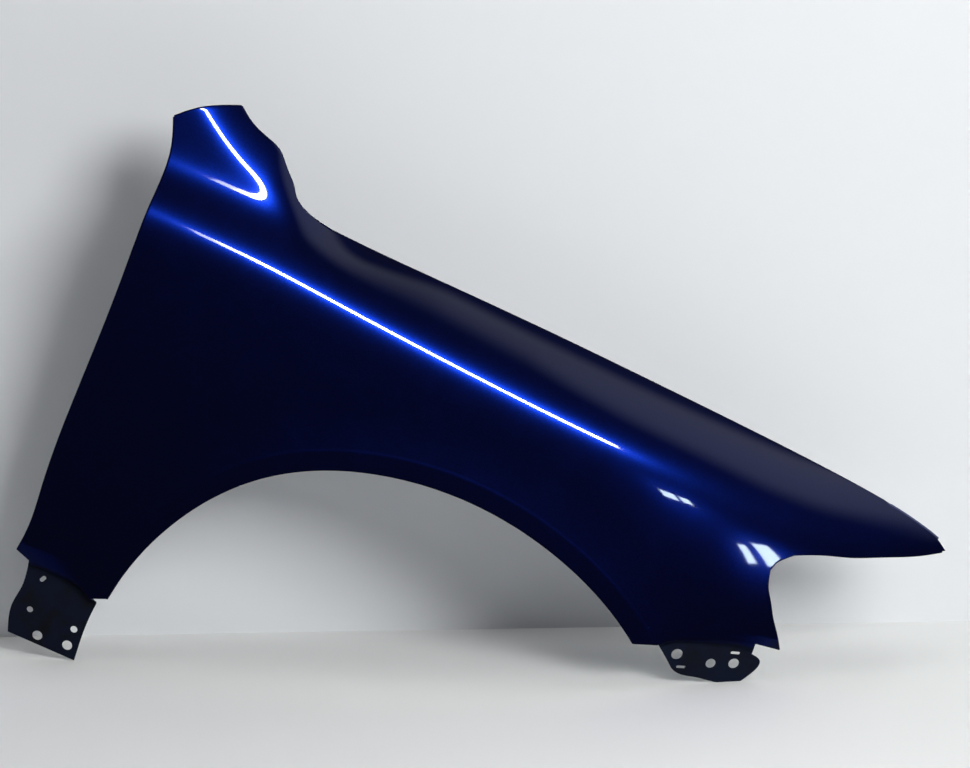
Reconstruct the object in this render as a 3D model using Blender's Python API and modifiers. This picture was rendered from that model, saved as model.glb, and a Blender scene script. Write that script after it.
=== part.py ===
"""Right-hand front fender of a car, pressed from one sheet of steel.

The skin is laid out in the draw plane of the press tool: X runs forward along
the car and V runs up the plane, which leans back from the vertical by the draw
tilt. Each point of the plane gets its set-back from the widest line of the
body, and the result is turned into car axes: X forward, Y inboard, Z up.
"""
import math

import bmesh
import bpy
import numpy as np
from mathutils import Matrix, Vector

# Sheet and folds
SHEET = 0.0008
BEND_RADIUS = 0.002
BEND_STEPS = 2
DRAW_TILT = math.radians(18.0)

# Frame: the inner face of the sill tab, clear of its holes, in wheel axes
FRAME_X = -0.412
FRAME_Z = 0.038

# Wheel arch: radii in the draw plane from the rear end to the front end
ARCH_REAR_ANGLE = math.radians(167.1)
ARCH_FRONT_ANGLE = math.radians(44.7)
ARCH_RADII = (0.3641, 0.3655, 0.3645, 0.3540, 0.3468, 0.3480, 0.3585)
FLARE_WIDTH = 0.028
FLARE_RAISE = 0.005
FLARE_SWEEP = 0.050
FLARE_EDGE = 0.005
SWEEP_RAISE_SHARE = 0.55
BAND_RAISE_SHARE = 0.70

# Lower edge of the skin, draw plane, rear to front
SILL_CORNER = (-0.480, 0.100)
SILL_TAB_LINE = ((-0.461, 0.092), (-0.430, 0.092), (-0.405, 0.090), (-0.386, 0.081), (-0.375, 0.074))
FRONT_TAB_LINE = ((0.285, 0.261), (0.292, 0.268), (0.325, 0.282), (0.363, 0.294), (0.397, 0.299))
FRONT_CORNER = (0.431, 0.301)

# Headlamp cut-out, from the front corner up to the notch and on to the nose
LAMP_SIDE = (FRONT_CORNER, (0.418, 0.321), (0.406, 0.337), (0.395, 0.355), (0.386, 0.369), (0.379, 0.391))
LAMP_NOTCH = ((0.379, 0.391), (0.382, 0.400), (0.390, 0.409), (0.400, 0.417))
NOSE_TOP = (0.563, 0.501)
NOSE_DROP = 0.017
NOSE_REACH = 0.025
NOSE_TIP = (NOSE_TOP[0] + NOSE_REACH, NOSE_TOP[1] - NOSE_DROP)
LAMP_TOP = ((0.400, 0.417), (0.436, 0.429), (0.469, 0.437), (0.504, 0.449), (0.556, 0.468), NOSE_TIP)

# Door edge, horn top, horn side and hood edge
HORN_REAR = (-0.4576, 0.6500)
HORN_FRONT = (-0.3882, 0.6912)
HOOD_REAR = (-0.2448, 0.5929)
DOOR_EDGE = (
    SILL_CORNER, (-0.473, 0.136), (-0.471, 0.185), (-0.461, 0.324), (-0.451, 0.435),
    (-0.447, 0.503), (-0.445, 0.555), (-0.4457, 0.5886), (-0.4486, 0.6177), HORN_REAR,
)
HORN_TOP = (HORN_REAR, (-0.4400, 0.6638), (-0.4108, 0.6812), HORN_FRONT)
HORN_SIDE = (
    HORN_FRONT, (-0.3693, 0.6759), (-0.3430, 0.6645), (-0.3304, 0.6584), (-0.3138, 0.6398),
    (-0.3010, 0.6255), (-0.2921, 0.6122), (-0.2774, 0.6022), HOOD_REAR,
)
HOOD_EDGE = (
    HOOD_REAR, (-0.176, 0.5862), (-0.106, 0.5805), (0.034, 0.569), (0.176, 0.5553), (0.322, 0.5403),
    (0.434, 0.527), (0.489, 0.5185), (0.526, 0.511), NOSE_TOP,
)

# Guide lines inside the skin
MID_LINE = ((-0.461, 0.330), (-0.300, 0.378), (0.0, 0.412), (0.262, 0.410), (0.379, 0.391))
CREST_LINE = (
    (-0.470, 0.542), (-0.300, 0.527), (-0.150, 0.5055), (0.0, 0.485), (0.160, 0.467),
    (0.300, 0.457), (0.430, 0.455), (0.590, 0.484),
)
RIDGE_LINE = (
    (-0.456, 0.718), (-0.4045, 0.6753), (-0.3735, 0.6545), (-0.3313, 0.6330), (-0.302, 0.6140),
    (-0.2735, 0.5930), (-0.243, 0.579), (-0.120, 0.556), (0.100, 0.548),
)
MID_STATIONS = (-0.461, -0.385, 0.262, 0.379)
CREST_STATIONS = (-0.446, -0.392, -0.250, 0.250, 0.3725)
NOSE_CREST_SHARE = 0.44
HOOD_STATIONS = (HOOD_REAR[0], 0.235, 0.365, 0.400, NOSE_TOP[0])
DOOR_ROW_HEIGHTS = (0.130, 0.330, 0.541)

# Form of the panel: plan curve, side barrel, shoulder, valley and horn ridge
PLAN_FRONT_START = 0.020
PLAN_FRONT_RADIUS = 0.900
PLAN_REAR_START = -0.200
PLAN_REAR_RADIUS = 4.0
BARREL_RADIUS = 3.5
CREST_ROUND = 0.008
CREST_ROUND_FRONT = 0.022
CREST_FADE = (0.120, 0.380)
TOP_SLOPE_SHARE = 0.95
CROWN_START = 0.012
CROWN_ROUND = 0.010
CROWN_RADIUS = 0.111
CROWN_FADE = (-0.330, -0.080)
VALLEY_OFFSET = 0.053
VALLEY_ROUND = 0.012
VALLEY_SLOPE_SHARE = 0.80
VALLEY_FADE = (-0.345, -0.195)
RIDGE_ROUND = 0.016
RIDGE_SLOPE_SHARE = 0.90
RIDGE_FADE = (-0.280, -0.080)

# Turned flanges
ARCH_LIP = 0.014
DOOR_RETURN = 0.010
HORN_RETURN = 0.009
LAMP_RETURN = 0.011
HOOD_DROP = 0.028
NOSE_RETURN = 0.005
RAIL_WIDTH = 0.020
RAIL_END_SHARES = (0.4, 0.7)
NOSE_EAR = (0.008, -0.003)

# Tabs: planes and outlines in car axes from the wheel centre
SILL_TAB_Y = 0.043
SILL_TAB_LEFT = ((-0.4605, 0.072), (-0.4605, 0.050), (-0.4660, 0.022), (-0.4610, -0.0155))
SILL_TAB_RIGHT = ((-0.3680, 0.060), (-0.3712, 0.036), (-0.3728, 0.009), (-0.3728, -0.0217))
FRONT_TAB_X = 0.290
FRONT_TAB_Y = 0.052
FRONT_TAB_YAW = math.radians(18.62)
FRONT_TAB_LEFT = ((0.2870, 0.2570), (0.2990, 0.2450), (0.3110, 0.2325))
FRONT_TAB_BASE = ((0.3110, 0.2325), (0.3160, 0.2295), (0.3440, 0.2275), (0.3710, 0.2270), (0.3950, 0.2310))
FRONT_TAB_RIGHT = ((0.3980, 0.2730), (0.4090, 0.2690), (0.3950, 0.2310))
JOGGLE_RUN = 0.006

# Holes in the tabs: centre X, centre Z, diameter
SILL_TAB_HOLES = (
    (-0.4431, 0.0229, 0.0078), (-0.3805, 0.0550, 0.0086), (-0.3845, 0.0177, 0.0088),
    (-0.4250, -0.0068, 0.0124), (-0.3865, -0.0056, 0.0126),
)
SILL_TAB_SLOT = (-0.4388, 0.0672)
SILL_SLOT_WIDTH = 0.0052
SILL_SLOT_TRAVEL = 0.0042
SILL_SLOT_TURN = math.radians(60.0)
FRONT_TAB_HOLES = ((0.3110, 0.2520, 0.0140), (0.3545, 0.2496, 0.0124), (0.3815, 0.2560, 0.0132))
FRONT_TAB_SLOTS = ((0.3215, 0.2368), (0.3784, 0.2700))
FRONT_SLOT_WIDTH = 0.0038
FRONT_SLOT_TRAVEL = 0.0080
FRONT_SLOT_TURN = math.radians(8.0)

# Rail slots along the hood edge and screw holes round the wheel arch
RAIL_SLOT_STATIONS = (-0.100, 0.060, 0.230, 0.400)
RAIL_SLOT_WIDTH = 0.0085
RAIL_SLOT_TRAVEL = 0.0060
LIP_HOLE_SHARES = (0.08, 0.27, 0.46, 0.65, 0.86)
LIP_HOLE = 0.0060
CUT_REACH = 0.012
HOLE_SIDES = 16

# Grid: columns per stretch of the outline, and row shares between the guides
LOWER_COLUMNS = (1, 5, 1, 26, 2, 5, 2)
MAIN_COLUMNS = sum(LOWER_COLUMNS)
HORN_COLUMNS = (8, 8)
HOOD_COLUMNS = (17, 9, 3, 6)
NOSE_COLUMNS = (3, 6)
ALL_COLUMNS = MAIN_COLUMNS + sum(NOSE_COLUMNS)
LOW_SHARES = (0.33, 0.67, 1.0)
SIDE_SHARES = (0.15, 0.34, 0.55, 0.77, 1.0)
SHOULDER_SHARES = (0.25, 0.50, 0.72, 0.88, 1.0)
TOP_SHARES = (0.10, 0.21, 0.35, 0.50, 0.67, 0.84, 1.0)
FLARE_ROW = len(LOW_SHARES)
MID_ROW = FLARE_ROW + len(SIDE_SHARES)
CREST_ROW = MID_ROW + len(SHOULDER_SHARES)
ALL_ROWS = CREST_ROW + len(TOP_SHARES)
SIDE_FADE_COLUMNS = 6
FLARE_REAR_COLUMNS = 4
FLARE_FRONT_COLUMNS = 2
NORMAL_STEP_SHARE = 0.05
TAPER_COLUMNS = 4
SHARPEST_SHARE = 0.40
TAB_ROWS = 5


def natural_spline(knots, values, at):
    """Cubic through the values at the knots, with straight ends."""
    t = np.asarray(knots, float)
    y = np.asarray(values, float)
    n = len(t)
    h = np.diff(t)
    rows = np.eye(n)
    right = np.zeros((n,) + y.shape[1:])
    for k in range(1, n - 1):
        rows[k, k - 1] = h[k - 1]
        rows[k, k] = 2.0 * (h[k - 1] + h[k])
        rows[k, k + 1] = h[k]
        right[k] = 6.0 * ((y[k + 1] - y[k]) / h[k] - (y[k] - y[k - 1]) / h[k - 1])
    bend = np.linalg.solve(rows, right)
    x = np.asarray(at, float)
    k = np.clip(np.searchsorted(t, x) - 1, 0, n - 2)
    a = (t[k + 1] - x) / h[k]
    b = (x - t[k]) / h[k]
    if y.ndim > 1:
        a = a[:, None]
        b = b[:, None]
        span = h[k][:, None]
    else:
        span = h[k]
    inside = a * y[k] + b * y[k + 1]
    return inside + ((a ** 3 - a) * bend[k] + (b ** 3 - b) * bend[k + 1]) * span ** 2 / 6.0


def line_height(points, x):
    """Height of a guide line at X."""
    table = np.array(points)
    return natural_spline(table[:, 0], table[:, 1], np.clip(x, table[0, 0], table[-1, 0]))


def track(points, steps):
    """Points spaced evenly along a smooth track, both ends included."""
    table = np.array(points)
    reach = np.concatenate(([0.0], np.cumsum(np.linalg.norm(np.diff(table, axis=0), axis=1))))
    return natural_spline(reach, table, np.linspace(0.0, reach[-1], steps + 1))


def joined(tracks):
    """One row of points from tracks that meet end to end."""
    rows = [tracks[0]]
    for piece in tracks[1:]:
        rows.append(piece[1:])
    return np.vstack(rows)


def fade(x, limits):
    """Smooth rise from nought to one between two limits."""
    share = np.clip((x - limits[0]) / (limits[1] - limits[0]), 0.0, 1.0)
    return share * share * (3.0 - 2.0 * share)


def soft_rise(t, width):
    """Distance past a line, rounded off over the width."""
    return width * np.logaddexp(0.0, t / width)


def arch_radius(angle):
    """Wheel arch radius at an angle in the draw plane."""
    knots = np.linspace(-ARCH_REAR_ANGLE, -ARCH_FRONT_ANGLE, len(ARCH_RADII))
    return natural_spline(knots, ARCH_RADII, np.clip(-angle, knots[0], knots[-1]))


def flare(x, v):
    """Outward sweep of the skin to the flat band round the wheel arch."""
    past = np.hypot(x, v) - arch_radius(np.arctan2(v, x)) - FLARE_WIDTH
    sweep = np.clip(1.0 - past / FLARE_SWEEP, 0.0, 1.0) ** 2
    band = fade(past, (-FLARE_EDGE, 0.0))
    return FLARE_RAISE * (SWEEP_RAISE_SHARE * sweep * band + BAND_RAISE_SHARE * (1.0 - band))


def set_back(x, v):
    """Distance inboard of the widest line of the body."""
    front = np.clip(x - PLAN_FRONT_START, 0.0, None) ** 2 / (2.0 * PLAN_FRONT_RADIUS)
    rear = np.clip(PLAN_REAR_START - x, 0.0, None) ** 2 / (2.0 * PLAN_REAR_RADIUS)
    above = v - line_height(CREST_LINE, x)
    barrel = np.clip(-above, 0.0, None) ** 2 / (2.0 * BARREL_RADIUS)
    width = CREST_ROUND + (CREST_ROUND_FRONT - CREST_ROUND) * fade(x, CREST_FADE)
    top = TOP_SLOPE_SHARE * soft_rise(above, width)
    crown = soft_rise(above - CROWN_START, CROWN_ROUND) ** 2 / (2.0 * CROWN_RADIUS) * fade(x, CROWN_FADE)
    hollow = VALLEY_SLOPE_SHARE * soft_rise(above - VALLEY_OFFSET, VALLEY_ROUND)
    past_ridge = v - line_height(RIDGE_LINE, x)
    ridge = RIDGE_SLOPE_SHARE * soft_rise(past_ridge, RIDGE_ROUND)
    return (
        front + rear + barrel + top + crown - flare(x, v)
        - hollow * (1.0 - fade(x, VALLEY_FADE)) + ridge * (1.0 - fade(x, RIDGE_FADE))
    )


def car_point(x, v):
    """Draw-plane points as car-axis points from the wheel centre."""
    y = set_back(x, v)
    return np.stack((x, y, v / math.cos(DRAW_TILT) - y * math.tan(DRAW_TILT)), axis=-1)


def inward_normal(x, v):
    """Unit normal of the skin, pointing into the car."""
    step = BEND_RADIUS * NORMAL_STEP_SHARE
    along = car_point(x + step, v) - car_point(x - step, v)
    up = car_point(x, v + step) - car_point(x, v - step)
    normal = np.cross(up, along)
    normal /= np.linalg.norm(normal, axis=-1, keepdims=True)
    return normal


def lower_track(fine):
    """Lower edge from the sill corner to the front corner."""
    arch_columns = LOWER_COLUMNS[3] * fine
    angle = np.linspace(ARCH_REAR_ANGLE, ARCH_FRONT_ANGLE, arch_columns + 1)
    radius = arch_radius(angle)
    arch = np.stack((radius * np.cos(angle), radius * np.sin(angle)), axis=-1)
    return joined((
        track((SILL_CORNER, SILL_TAB_LINE[0]), LOWER_COLUMNS[0] * fine),
        track(SILL_TAB_LINE, LOWER_COLUMNS[1] * fine),
        track((SILL_TAB_LINE[-1], tuple(arch[0])), LOWER_COLUMNS[2] * fine),
        arch,
        track((tuple(arch[-1]), FRONT_TAB_LINE[0]), LOWER_COLUMNS[4] * fine),
        track(FRONT_TAB_LINE, LOWER_COLUMNS[5] * fine),
        track((FRONT_TAB_LINE[-1], FRONT_CORNER), LOWER_COLUMNS[6] * fine),
    ))


def upper_track(fine):
    """Upper edge from the rear of the horn to the nose."""
    columns = np.concatenate(([0], np.cumsum(HOOD_COLUMNS))) * fine
    x = np.interp(np.arange(columns[-1] + 1), columns, HOOD_STATIONS)
    hood = np.stack((x, line_height(HOOD_EDGE, x)), axis=-1)
    return joined((track(HORN_TOP, HORN_COLUMNS[0] * fine), track(HORN_SIDE, HORN_COLUMNS[1] * fine), hood))


def row_levels(fine):
    """Row positions as guide number plus share of the way to the next guide."""
    levels = [0.0]
    for guide, shares in enumerate((LOW_SHARES, SIDE_SHARES, SHOULDER_SHARES, TOP_SHARES)):
        for share in shares:
            levels.append(guide + share)
    rows = np.arange(len(levels))
    return np.interp(np.arange(ALL_ROWS * fine + 1) / fine, rows, levels)


def door_track(fine):
    """Door edge points, one for each row."""
    heights = (SILL_CORNER[1],) + DOOR_ROW_HEIGHTS + (HORN_REAR[1],)
    v = np.interp(row_levels(fine), range(len(heights)), heights)
    table = np.array(DOOR_EDGE)
    return np.stack((natural_spline(table[:, 1], table[:, 0], v), v), axis=-1)


def inset_loop(points, distance):
    """Closed loop of points moved to its left by a distance."""
    after = np.roll(points, -1, axis=0) - points
    before = points - np.roll(points, 1, axis=0)
    after /= np.linalg.norm(after, axis=1, keepdims=True)
    before /= np.linalg.norm(before, axis=1, keepdims=True)
    along = after + before
    along /= np.linalg.norm(along, axis=1, keepdims=True)
    spread = np.clip((along * after).sum(axis=1), SHARPEST_SHARE, 1.0)
    left = np.stack((-along[:, 1], along[:, 0]), axis=-1)
    return points + left * (distance / spread)[:, None]


def outline(fine):
    """Boundary of the flat skin: the outline set in by the bend radius."""
    pieces = (
        lower_track(fine),
        track(LAMP_SIDE, MID_ROW * fine),
        joined((track(LAMP_NOTCH, NOSE_COLUMNS[0] * fine), track(LAMP_TOP, NOSE_COLUMNS[1] * fine))),
        track((NOSE_TIP, NOSE_TOP), (ALL_ROWS - MID_ROW) * fine),
        upper_track(fine)[::-1],
        door_track(fine)[::-1],
    )
    loop = inset_loop(np.vstack([piece[:-1] for piece in pieces]), BEND_RADIUS)
    loop = np.vstack((loop, loop[:1]))
    sides = []
    start = 0
    for piece in pieces:
        sides.append(loop[start:start + len(piece)])
        start += len(piece) - 1
    sides[3] = np.linspace(sides[3][0], sides[3][-1], len(sides[3]))
    sides[3][-1] += NOSE_EAR
    sides[4][0] = sides[3][-1]
    sides[4] = sides[4][::-1]
    sides[5] = sides[5][::-1]
    return sides


def flare_guide(lower, fine):
    """Row along the inner edge of the flare band."""
    column = np.arange(len(lower)) / fine
    first = sum(LOWER_COLUMNS[:3])
    last = sum(LOWER_COLUMNS[:4])
    from_rear = fade(column, (first, first + FLARE_REAR_COLUMNS))
    to_front = fade(column, (last - FLARE_FRONT_COLUMNS, last + FLARE_FRONT_COLUMNS))
    radial = from_rear * (1.0 - to_front)
    out = lower / np.linalg.norm(lower, axis=1, keepdims=True)
    way = out * radial[:, None] + np.array((0.0, 1.0)) * (1.0 - radial[:, None])
    way /= np.linalg.norm(way, axis=1, keepdims=True)
    return lower + way * FLARE_WIDTH


def guide_row(points, stations, columns, fine, count):
    """Row of points along a guide line at given stations."""
    x = np.interp(np.arange(count) / fine, columns, stations)
    return np.stack((x, line_height(points, x)), axis=-1)


def blend_side(grid, column, target, rows, step, fine):
    """Shift the columns near one side so that the side meets its target."""
    gap = target - grid[column, rows]
    reach = SIDE_FADE_COLUMNS * fine
    for k in range(reach):
        grid[column + step * k, rows] += gap * (1.0 - k / reach)


def skin_grid(fine):
    """Draw-plane position of every grid point of the skin."""
    lower, lamp_side, lamp_top, nose, upper, door = outline(fine)
    main = MAIN_COLUMNS * fine
    count = ALL_COLUMNS * fine + 1
    first = HORN_COLUMNS[0]
    corner = first + HORN_COLUMNS[1]
    arch_end = corner + HOOD_COLUMNS[0]
    middle = guide_row(MID_LINE, MID_STATIONS, (0, first, arch_end, MAIN_COLUMNS), fine, main + 1)
    middle = np.vstack((middle[:-1], lamp_top))
    crest_columns = (0, first, corner, arch_end, MAIN_COLUMNS)
    crest = guide_row(CREST_LINE, CREST_STATIONS, crest_columns, fine, main + 1)
    nose_crest = lamp_top * (1.0 - NOSE_CREST_SHARE) + upper[main:] * NOSE_CREST_SHARE
    crest = np.vstack((crest[:-1], nose_crest))
    flare_row = flare_guide(lower, fine)
    spare = np.repeat(lamp_top[:1], count - main - 1, axis=0)
    guides = np.stack((np.vstack((lower, spare)), np.vstack((flare_row, spare)), middle, crest, upper))
    levels = row_levels(fine)
    below = np.minimum(levels.astype(int), len(guides) - 2)
    share = (levels - below)[:, None, None]
    grid = (guides[below] * (1.0 - share) + guides[below + 1] * share).transpose(1, 0, 2)
    every = np.arange(ALL_ROWS * fine + 1)
    low = np.arange(MID_ROW * fine + 1)
    high = np.arange(MID_ROW * fine, ALL_ROWS * fine + 1)
    blend_side(grid, 0, door, every, 1, fine)
    blend_side(grid, main, lamp_side, low, -1, fine)
    blend_side(grid, count - 1, nose, high, -1, fine)
    return grid


def make_skin(mesh):
    """Skin of the fender as a grid; returns the vertices by column and row."""
    made = bmesh.ops.create_grid(mesh, x_segments=ALL_COLUMNS, y_segments=ALL_ROWS, size=1.0)
    place = skin_grid(1)
    points = car_point(place[..., 0], place[..., 1])
    grid = {}
    for vert in made["verts"]:
        column = round((vert.co.x + 1.0) / 2.0 * ALL_COLUMNS)
        row = round((vert.co.y + 1.0) / 2.0 * ALL_ROWS)
        grid[column, row] = vert
    for (column, row), vert in grid.items():
        vert.co = points[column, row]
    lamp = [grid[c, r] for c in range(MAIN_COLUMNS + 1, ALL_COLUMNS + 1) for r in range(MID_ROW)]
    bmesh.ops.delete(mesh, geom=lamp, context="VERTS")
    normals = inward_normal(place[..., 0], place[..., 1])
    return grid, normals


def extrude_chain(mesh, chain):
    """Extrude the edges along a chain of vertices; returns the new chain."""
    edges = [mesh.edges.get(pair) for pair in zip(chain, chain[1:])]
    made = bmesh.ops.extrude_edge_only(mesh, edges=edges)
    fresh = {item for item in made["geom"] if isinstance(item, bmesh.types.BMVert)}
    result = []
    for vert in chain:
        result.append(next(e.other_vert(vert) for e in vert.link_edges if e.other_vert(vert) in fresh))
    return result


def outward_ways(chain, inner, normals):
    """Direction out of the skin at each vertex of a boundary chain."""
    ways = []
    for k, vert in enumerate(chain):
        ahead = chain[min(k + 1, len(chain) - 1)].co - chain[max(k - 1, 0)].co
        way = ahead.cross(normals[k]).normalized()
        if way.dot(vert.co - inner[k].co) < 0.0:
            way = -way
        ways.append(way)
    return ways


def turn_flange(mesh, chain, inner, normals, widths, target=None):
    """Fold a flange in from a boundary chain round the bend radius."""
    ways = outward_ways(chain, inner, normals)
    starts = [vert.co.copy() for vert in chain]
    angles = []
    for way, normal in zip(ways, normals):
        goal = normal if target is None else target
        angles.append(math.atan2(goal.dot(normal), goal.dot(way)))
    row = chain
    for step in range(1, BEND_STEPS + 1):
        row = extrude_chain(mesh, row)
        for k, vert in enumerate(row):
            turn = angles[k] * step / BEND_STEPS
            swing = ways[k] * math.sin(turn) + normals[k] * (1.0 - math.cos(turn))
            vert.co = starts[k] + swing * BEND_RADIUS
    row = extrude_chain(mesh, row)
    for k, vert in enumerate(row):
        run = ways[k] * math.cos(angles[k]) + normals[k] * math.sin(angles[k])
        vert.co += run * (widths[k] - BEND_RADIUS)
    return row


def chain_of(grid, normals, places):
    """Vertices, inner neighbours and normals for boundary places."""
    chain = [grid[place[:2]] for place in places]
    inner = [grid[place[2:]] for place in places]
    facing = [Vector(normals[place[0], place[1]]) for place in places]
    return chain, inner, facing


def add_edge_returns(mesh, grid, normals):
    """Returns of the door edge, horn, headlamp cut-out and front corner."""
    door = [(0, r, 1, r) for r in range(ALL_ROWS + 1)]
    chain, inner, facing = chain_of(grid, normals, door)
    turn_flange(mesh, chain, inner, facing, [DOOR_RETURN] * len(chain))
    top = [(c, ALL_ROWS, c, ALL_ROWS - 1) for c in range(HORN_COLUMNS[0] + 1)]
    chain, inner, facing = chain_of(grid, normals, top)
    turn_flange(mesh, chain, inner, facing, [HORN_RETURN] * len(chain))
    lamp = [(MAIN_COLUMNS, r, MAIN_COLUMNS - 1, r) for r in range(MID_ROW)]
    lamp.append((MAIN_COLUMNS, MID_ROW, MAIN_COLUMNS - 1, MID_ROW + 1))
    lamp += [(c, MID_ROW, c, MID_ROW + 1) for c in range(MAIN_COLUMNS + 1, ALL_COLUMNS)]
    chain, inner, facing = chain_of(grid, normals, lamp)
    left_over = [min(len(chain) - 1 - k, TAPER_COLUMNS) / TAPER_COLUMNS for k in range(len(chain))]
    widths = [NOSE_RETURN + (LAMP_RETURN - NOSE_RETURN) * share for share in left_over]
    turn_flange(mesh, chain, inner, facing, widths)


def add_arch_lip(mesh, grid, normals):
    """Lip turned straight inboard round the wheel arch."""
    start = sum(LOWER_COLUMNS[:3])
    stop = sum(LOWER_COLUMNS[:5])
    arch = [(c, 0, c, 1) for c in range(start, stop + 1)]
    chain, inner, facing = chain_of(grid, normals, arch)
    return turn_flange(mesh, chain, inner, facing, [ARCH_LIP] * len(chain), Vector((0.0, 1.0, 0.0)))


def add_hood_rail(mesh, grid, normals):
    """Drop wall under the hood edge with the bolting rail turned inboard."""
    start = HORN_COLUMNS[0]
    bend = start + HORN_COLUMNS[1]
    edge = [(c, ALL_ROWS, c, ALL_ROWS - 1) for c in range(start, ALL_COLUMNS + 1)]
    chain, inner, facing = chain_of(grid, normals, edge)
    widths = []
    for column in range(start, ALL_COLUMNS + 1):
        rise = min(max((column - bend) / TAPER_COLUMNS, 0.0), 1.0)
        fall = min((ALL_COLUMNS - column) / TAPER_COLUMNS, 1.0)
        behind = HORN_RETURN + (HOOD_DROP - HORN_RETURN) * rise
        widths.append(NOSE_RETURN + (behind - NOSE_RETURN) * fall)
    wall = turn_flange(mesh, chain, inner, facing, widths, Vector((0.0, 0.0, -1.0)))
    first = bend - start + TAPER_COLUMNS
    rail = extrude_chain(mesh, wall[first:-TAPER_COLUMNS])
    shares = RAIL_END_SHARES + (1.0,)
    for k, vert in enumerate(rail):
        place = min(k, len(rail) - 1 - k, len(RAIL_END_SHARES))
        vert.co.y += RAIL_WIDTH * shares[place]
    return rail


def add_tab(mesh, chain, left, right, base, place):
    """Joggled tab below a boundary chain, its rows running from side to side."""
    count = len(chain) - 1
    top = np.linspace(np.array(left[0]), np.array(right[0]), count + 1)
    for k, vert in enumerate(chain):
        top[k, 1] = min(vert.co.z - JOGGLE_RUN, top[k, 1] + JOGGLE_RUN)
    top[0] = left[0]
    top[-1] = right[0]
    sides = (track(left, TAB_ROWS), track(right, TAB_ROWS))
    foot = track(base, count)
    row = chain
    for step in range(TAB_ROWS + 1):
        share = step / TAB_ROWS
        row = extrude_chain(mesh, row)
        for k, vert in enumerate(row):
            across = k / count
            point = top[k] * (1.0 - share) + foot[k] * share
            for end, weight in ((0, 1.0 - across), (1, across)):
                corner = (top, foot)
                straight = corner[0][-end] * (1.0 - share) + corner[1][-end] * share
                point = point + (sides[end][step] - straight) * weight
            vert.co = place(point[0], point[1])


def sill_tab_point(x, z):
    """Point on the sill tab plane."""
    return Vector((x, SILL_TAB_Y, z))


def front_tab_point(x, z):
    """Point on the front tab plane."""
    return Vector((x, FRONT_TAB_Y + math.tan(FRONT_TAB_YAW) * (x - FRONT_TAB_X), z))


def add_tabs(mesh, grid):
    """Sill tab at the rear and bracket tab at the front."""
    start = LOWER_COLUMNS[0]
    chain = [grid[c, 0] for c in range(start, start + LOWER_COLUMNS[1] + 1)]
    base = (SILL_TAB_LEFT[-1], SILL_TAB_RIGHT[-1])
    add_tab(mesh, chain, SILL_TAB_LEFT, SILL_TAB_RIGHT, base, sill_tab_point)
    start = sum(LOWER_COLUMNS[:5])
    chain = [grid[c, 0] for c in range(start, start + LOWER_COLUMNS[5] + 1)]
    add_tab(mesh, chain, FRONT_TAB_LEFT, FRONT_TAB_RIGHT, FRONT_TAB_BASE, front_tab_point)


def slot_cutter(mesh, centre, turn, width, travel, spin):
    """Closed cutter for a round hole or a slot, its axis along local Z."""
    made = bmesh.ops.create_circle(mesh, cap_ends=True, segments=HOLE_SIDES, radius=width / 2.0)
    verts = made["verts"]
    for vert in verts:
        if travel > 0.0:
            vert.co.x += math.copysign(travel / 2.0, vert.co.x)
    faces = list({face for vert in verts for face in vert.link_faces})
    grown = bmesh.ops.extrude_face_region(mesh, geom=faces)
    upper = [item for item in grown["geom"] if isinstance(item, bmesh.types.BMVert)]
    bmesh.ops.translate(mesh, verts=upper, vec=(0.0, 0.0, CUT_REACH))
    both = verts + upper
    bmesh.ops.translate(mesh, verts=both, vec=(0.0, 0.0, -CUT_REACH / 2.0))
    frame = Matrix.Translation(centre) @ turn @ Matrix.Rotation(spin, 4, "Z")
    bmesh.ops.transform(mesh, matrix=frame, verts=both)


def hole_list():
    """Every hole and slot as cutter name, centre, axis turn, width, travel, spin."""
    quarter = math.pi / 2.0
    aim = Matrix.Rotation(quarter, 4, "X")
    holes = []
    for x, z, width in SILL_TAB_HOLES:
        holes.append(("sill_tab_cutter", sill_tab_point(x, z), aim, width, 0.0, 0.0))
    holes.append((
        "sill_tab_cutter", sill_tab_point(*SILL_TAB_SLOT), aim,
        SILL_SLOT_WIDTH, SILL_SLOT_TRAVEL, SILL_SLOT_TURN,
    ))
    front_aim = Matrix.Rotation(FRONT_TAB_YAW, 4, "Z") @ aim
    for x, z, width in FRONT_TAB_HOLES:
        holes.append(("front_tab_cutter", front_tab_point(x, z), front_aim, width, 0.0, 0.0))
    for x, z in FRONT_TAB_SLOTS:
        holes.append((
            "front_tab_cutter", front_tab_point(x, z), front_aim,
            FRONT_SLOT_WIDTH, FRONT_SLOT_TRAVEL, FRONT_SLOT_TURN,
        ))
    return holes


def rail_holes(rail_rows):
    """Bolt slots through the rail, centred across its width."""
    holes = []
    outer, inner = rail_rows
    xs = [co.x for co in outer]
    for x in RAIL_SLOT_STATIONS:
        y = np.interp(x, xs, [(a.y + b.y) / 2.0 for a, b in zip(outer, inner)])
        z = np.interp(x, xs, [co.z for co in outer])
        holes.append(("rail_cutter", Vector((x, y, z)), Matrix(), RAIL_SLOT_WIDTH, RAIL_SLOT_TRAVEL, 0.0))
    return holes


def lip_holes(lip):
    """Liner screw holes through the arch lip, pointing at the wheel centre."""
    holes = []
    for share in LIP_HOLE_SHARES:
        centre = lip[round(share * (len(lip) - 1))] + Vector((0.0, -ARCH_LIP / 2.0, 0.0))
        turn = Matrix.Rotation(math.atan2(centre.x, centre.z), 4, "Y")
        holes.append(("arch_lip_cutter", centre, turn, LIP_HOLE, 0.0, 0.0))
    return holes


def frame_shift():
    """Step from wheel axes to the frame of the part."""
    return Vector((-FRAME_X, -(SILL_TAB_Y + SHEET), -FRAME_Z))


def mesh_object(name, mesh, home):
    """Finish a bmesh as an object in a collection."""
    data = bpy.data.meshes.new(name)
    mesh.to_mesh(data)
    mesh.free()
    thing = bpy.data.objects.new(name, data)
    home.objects.link(thing)
    return thing


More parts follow.
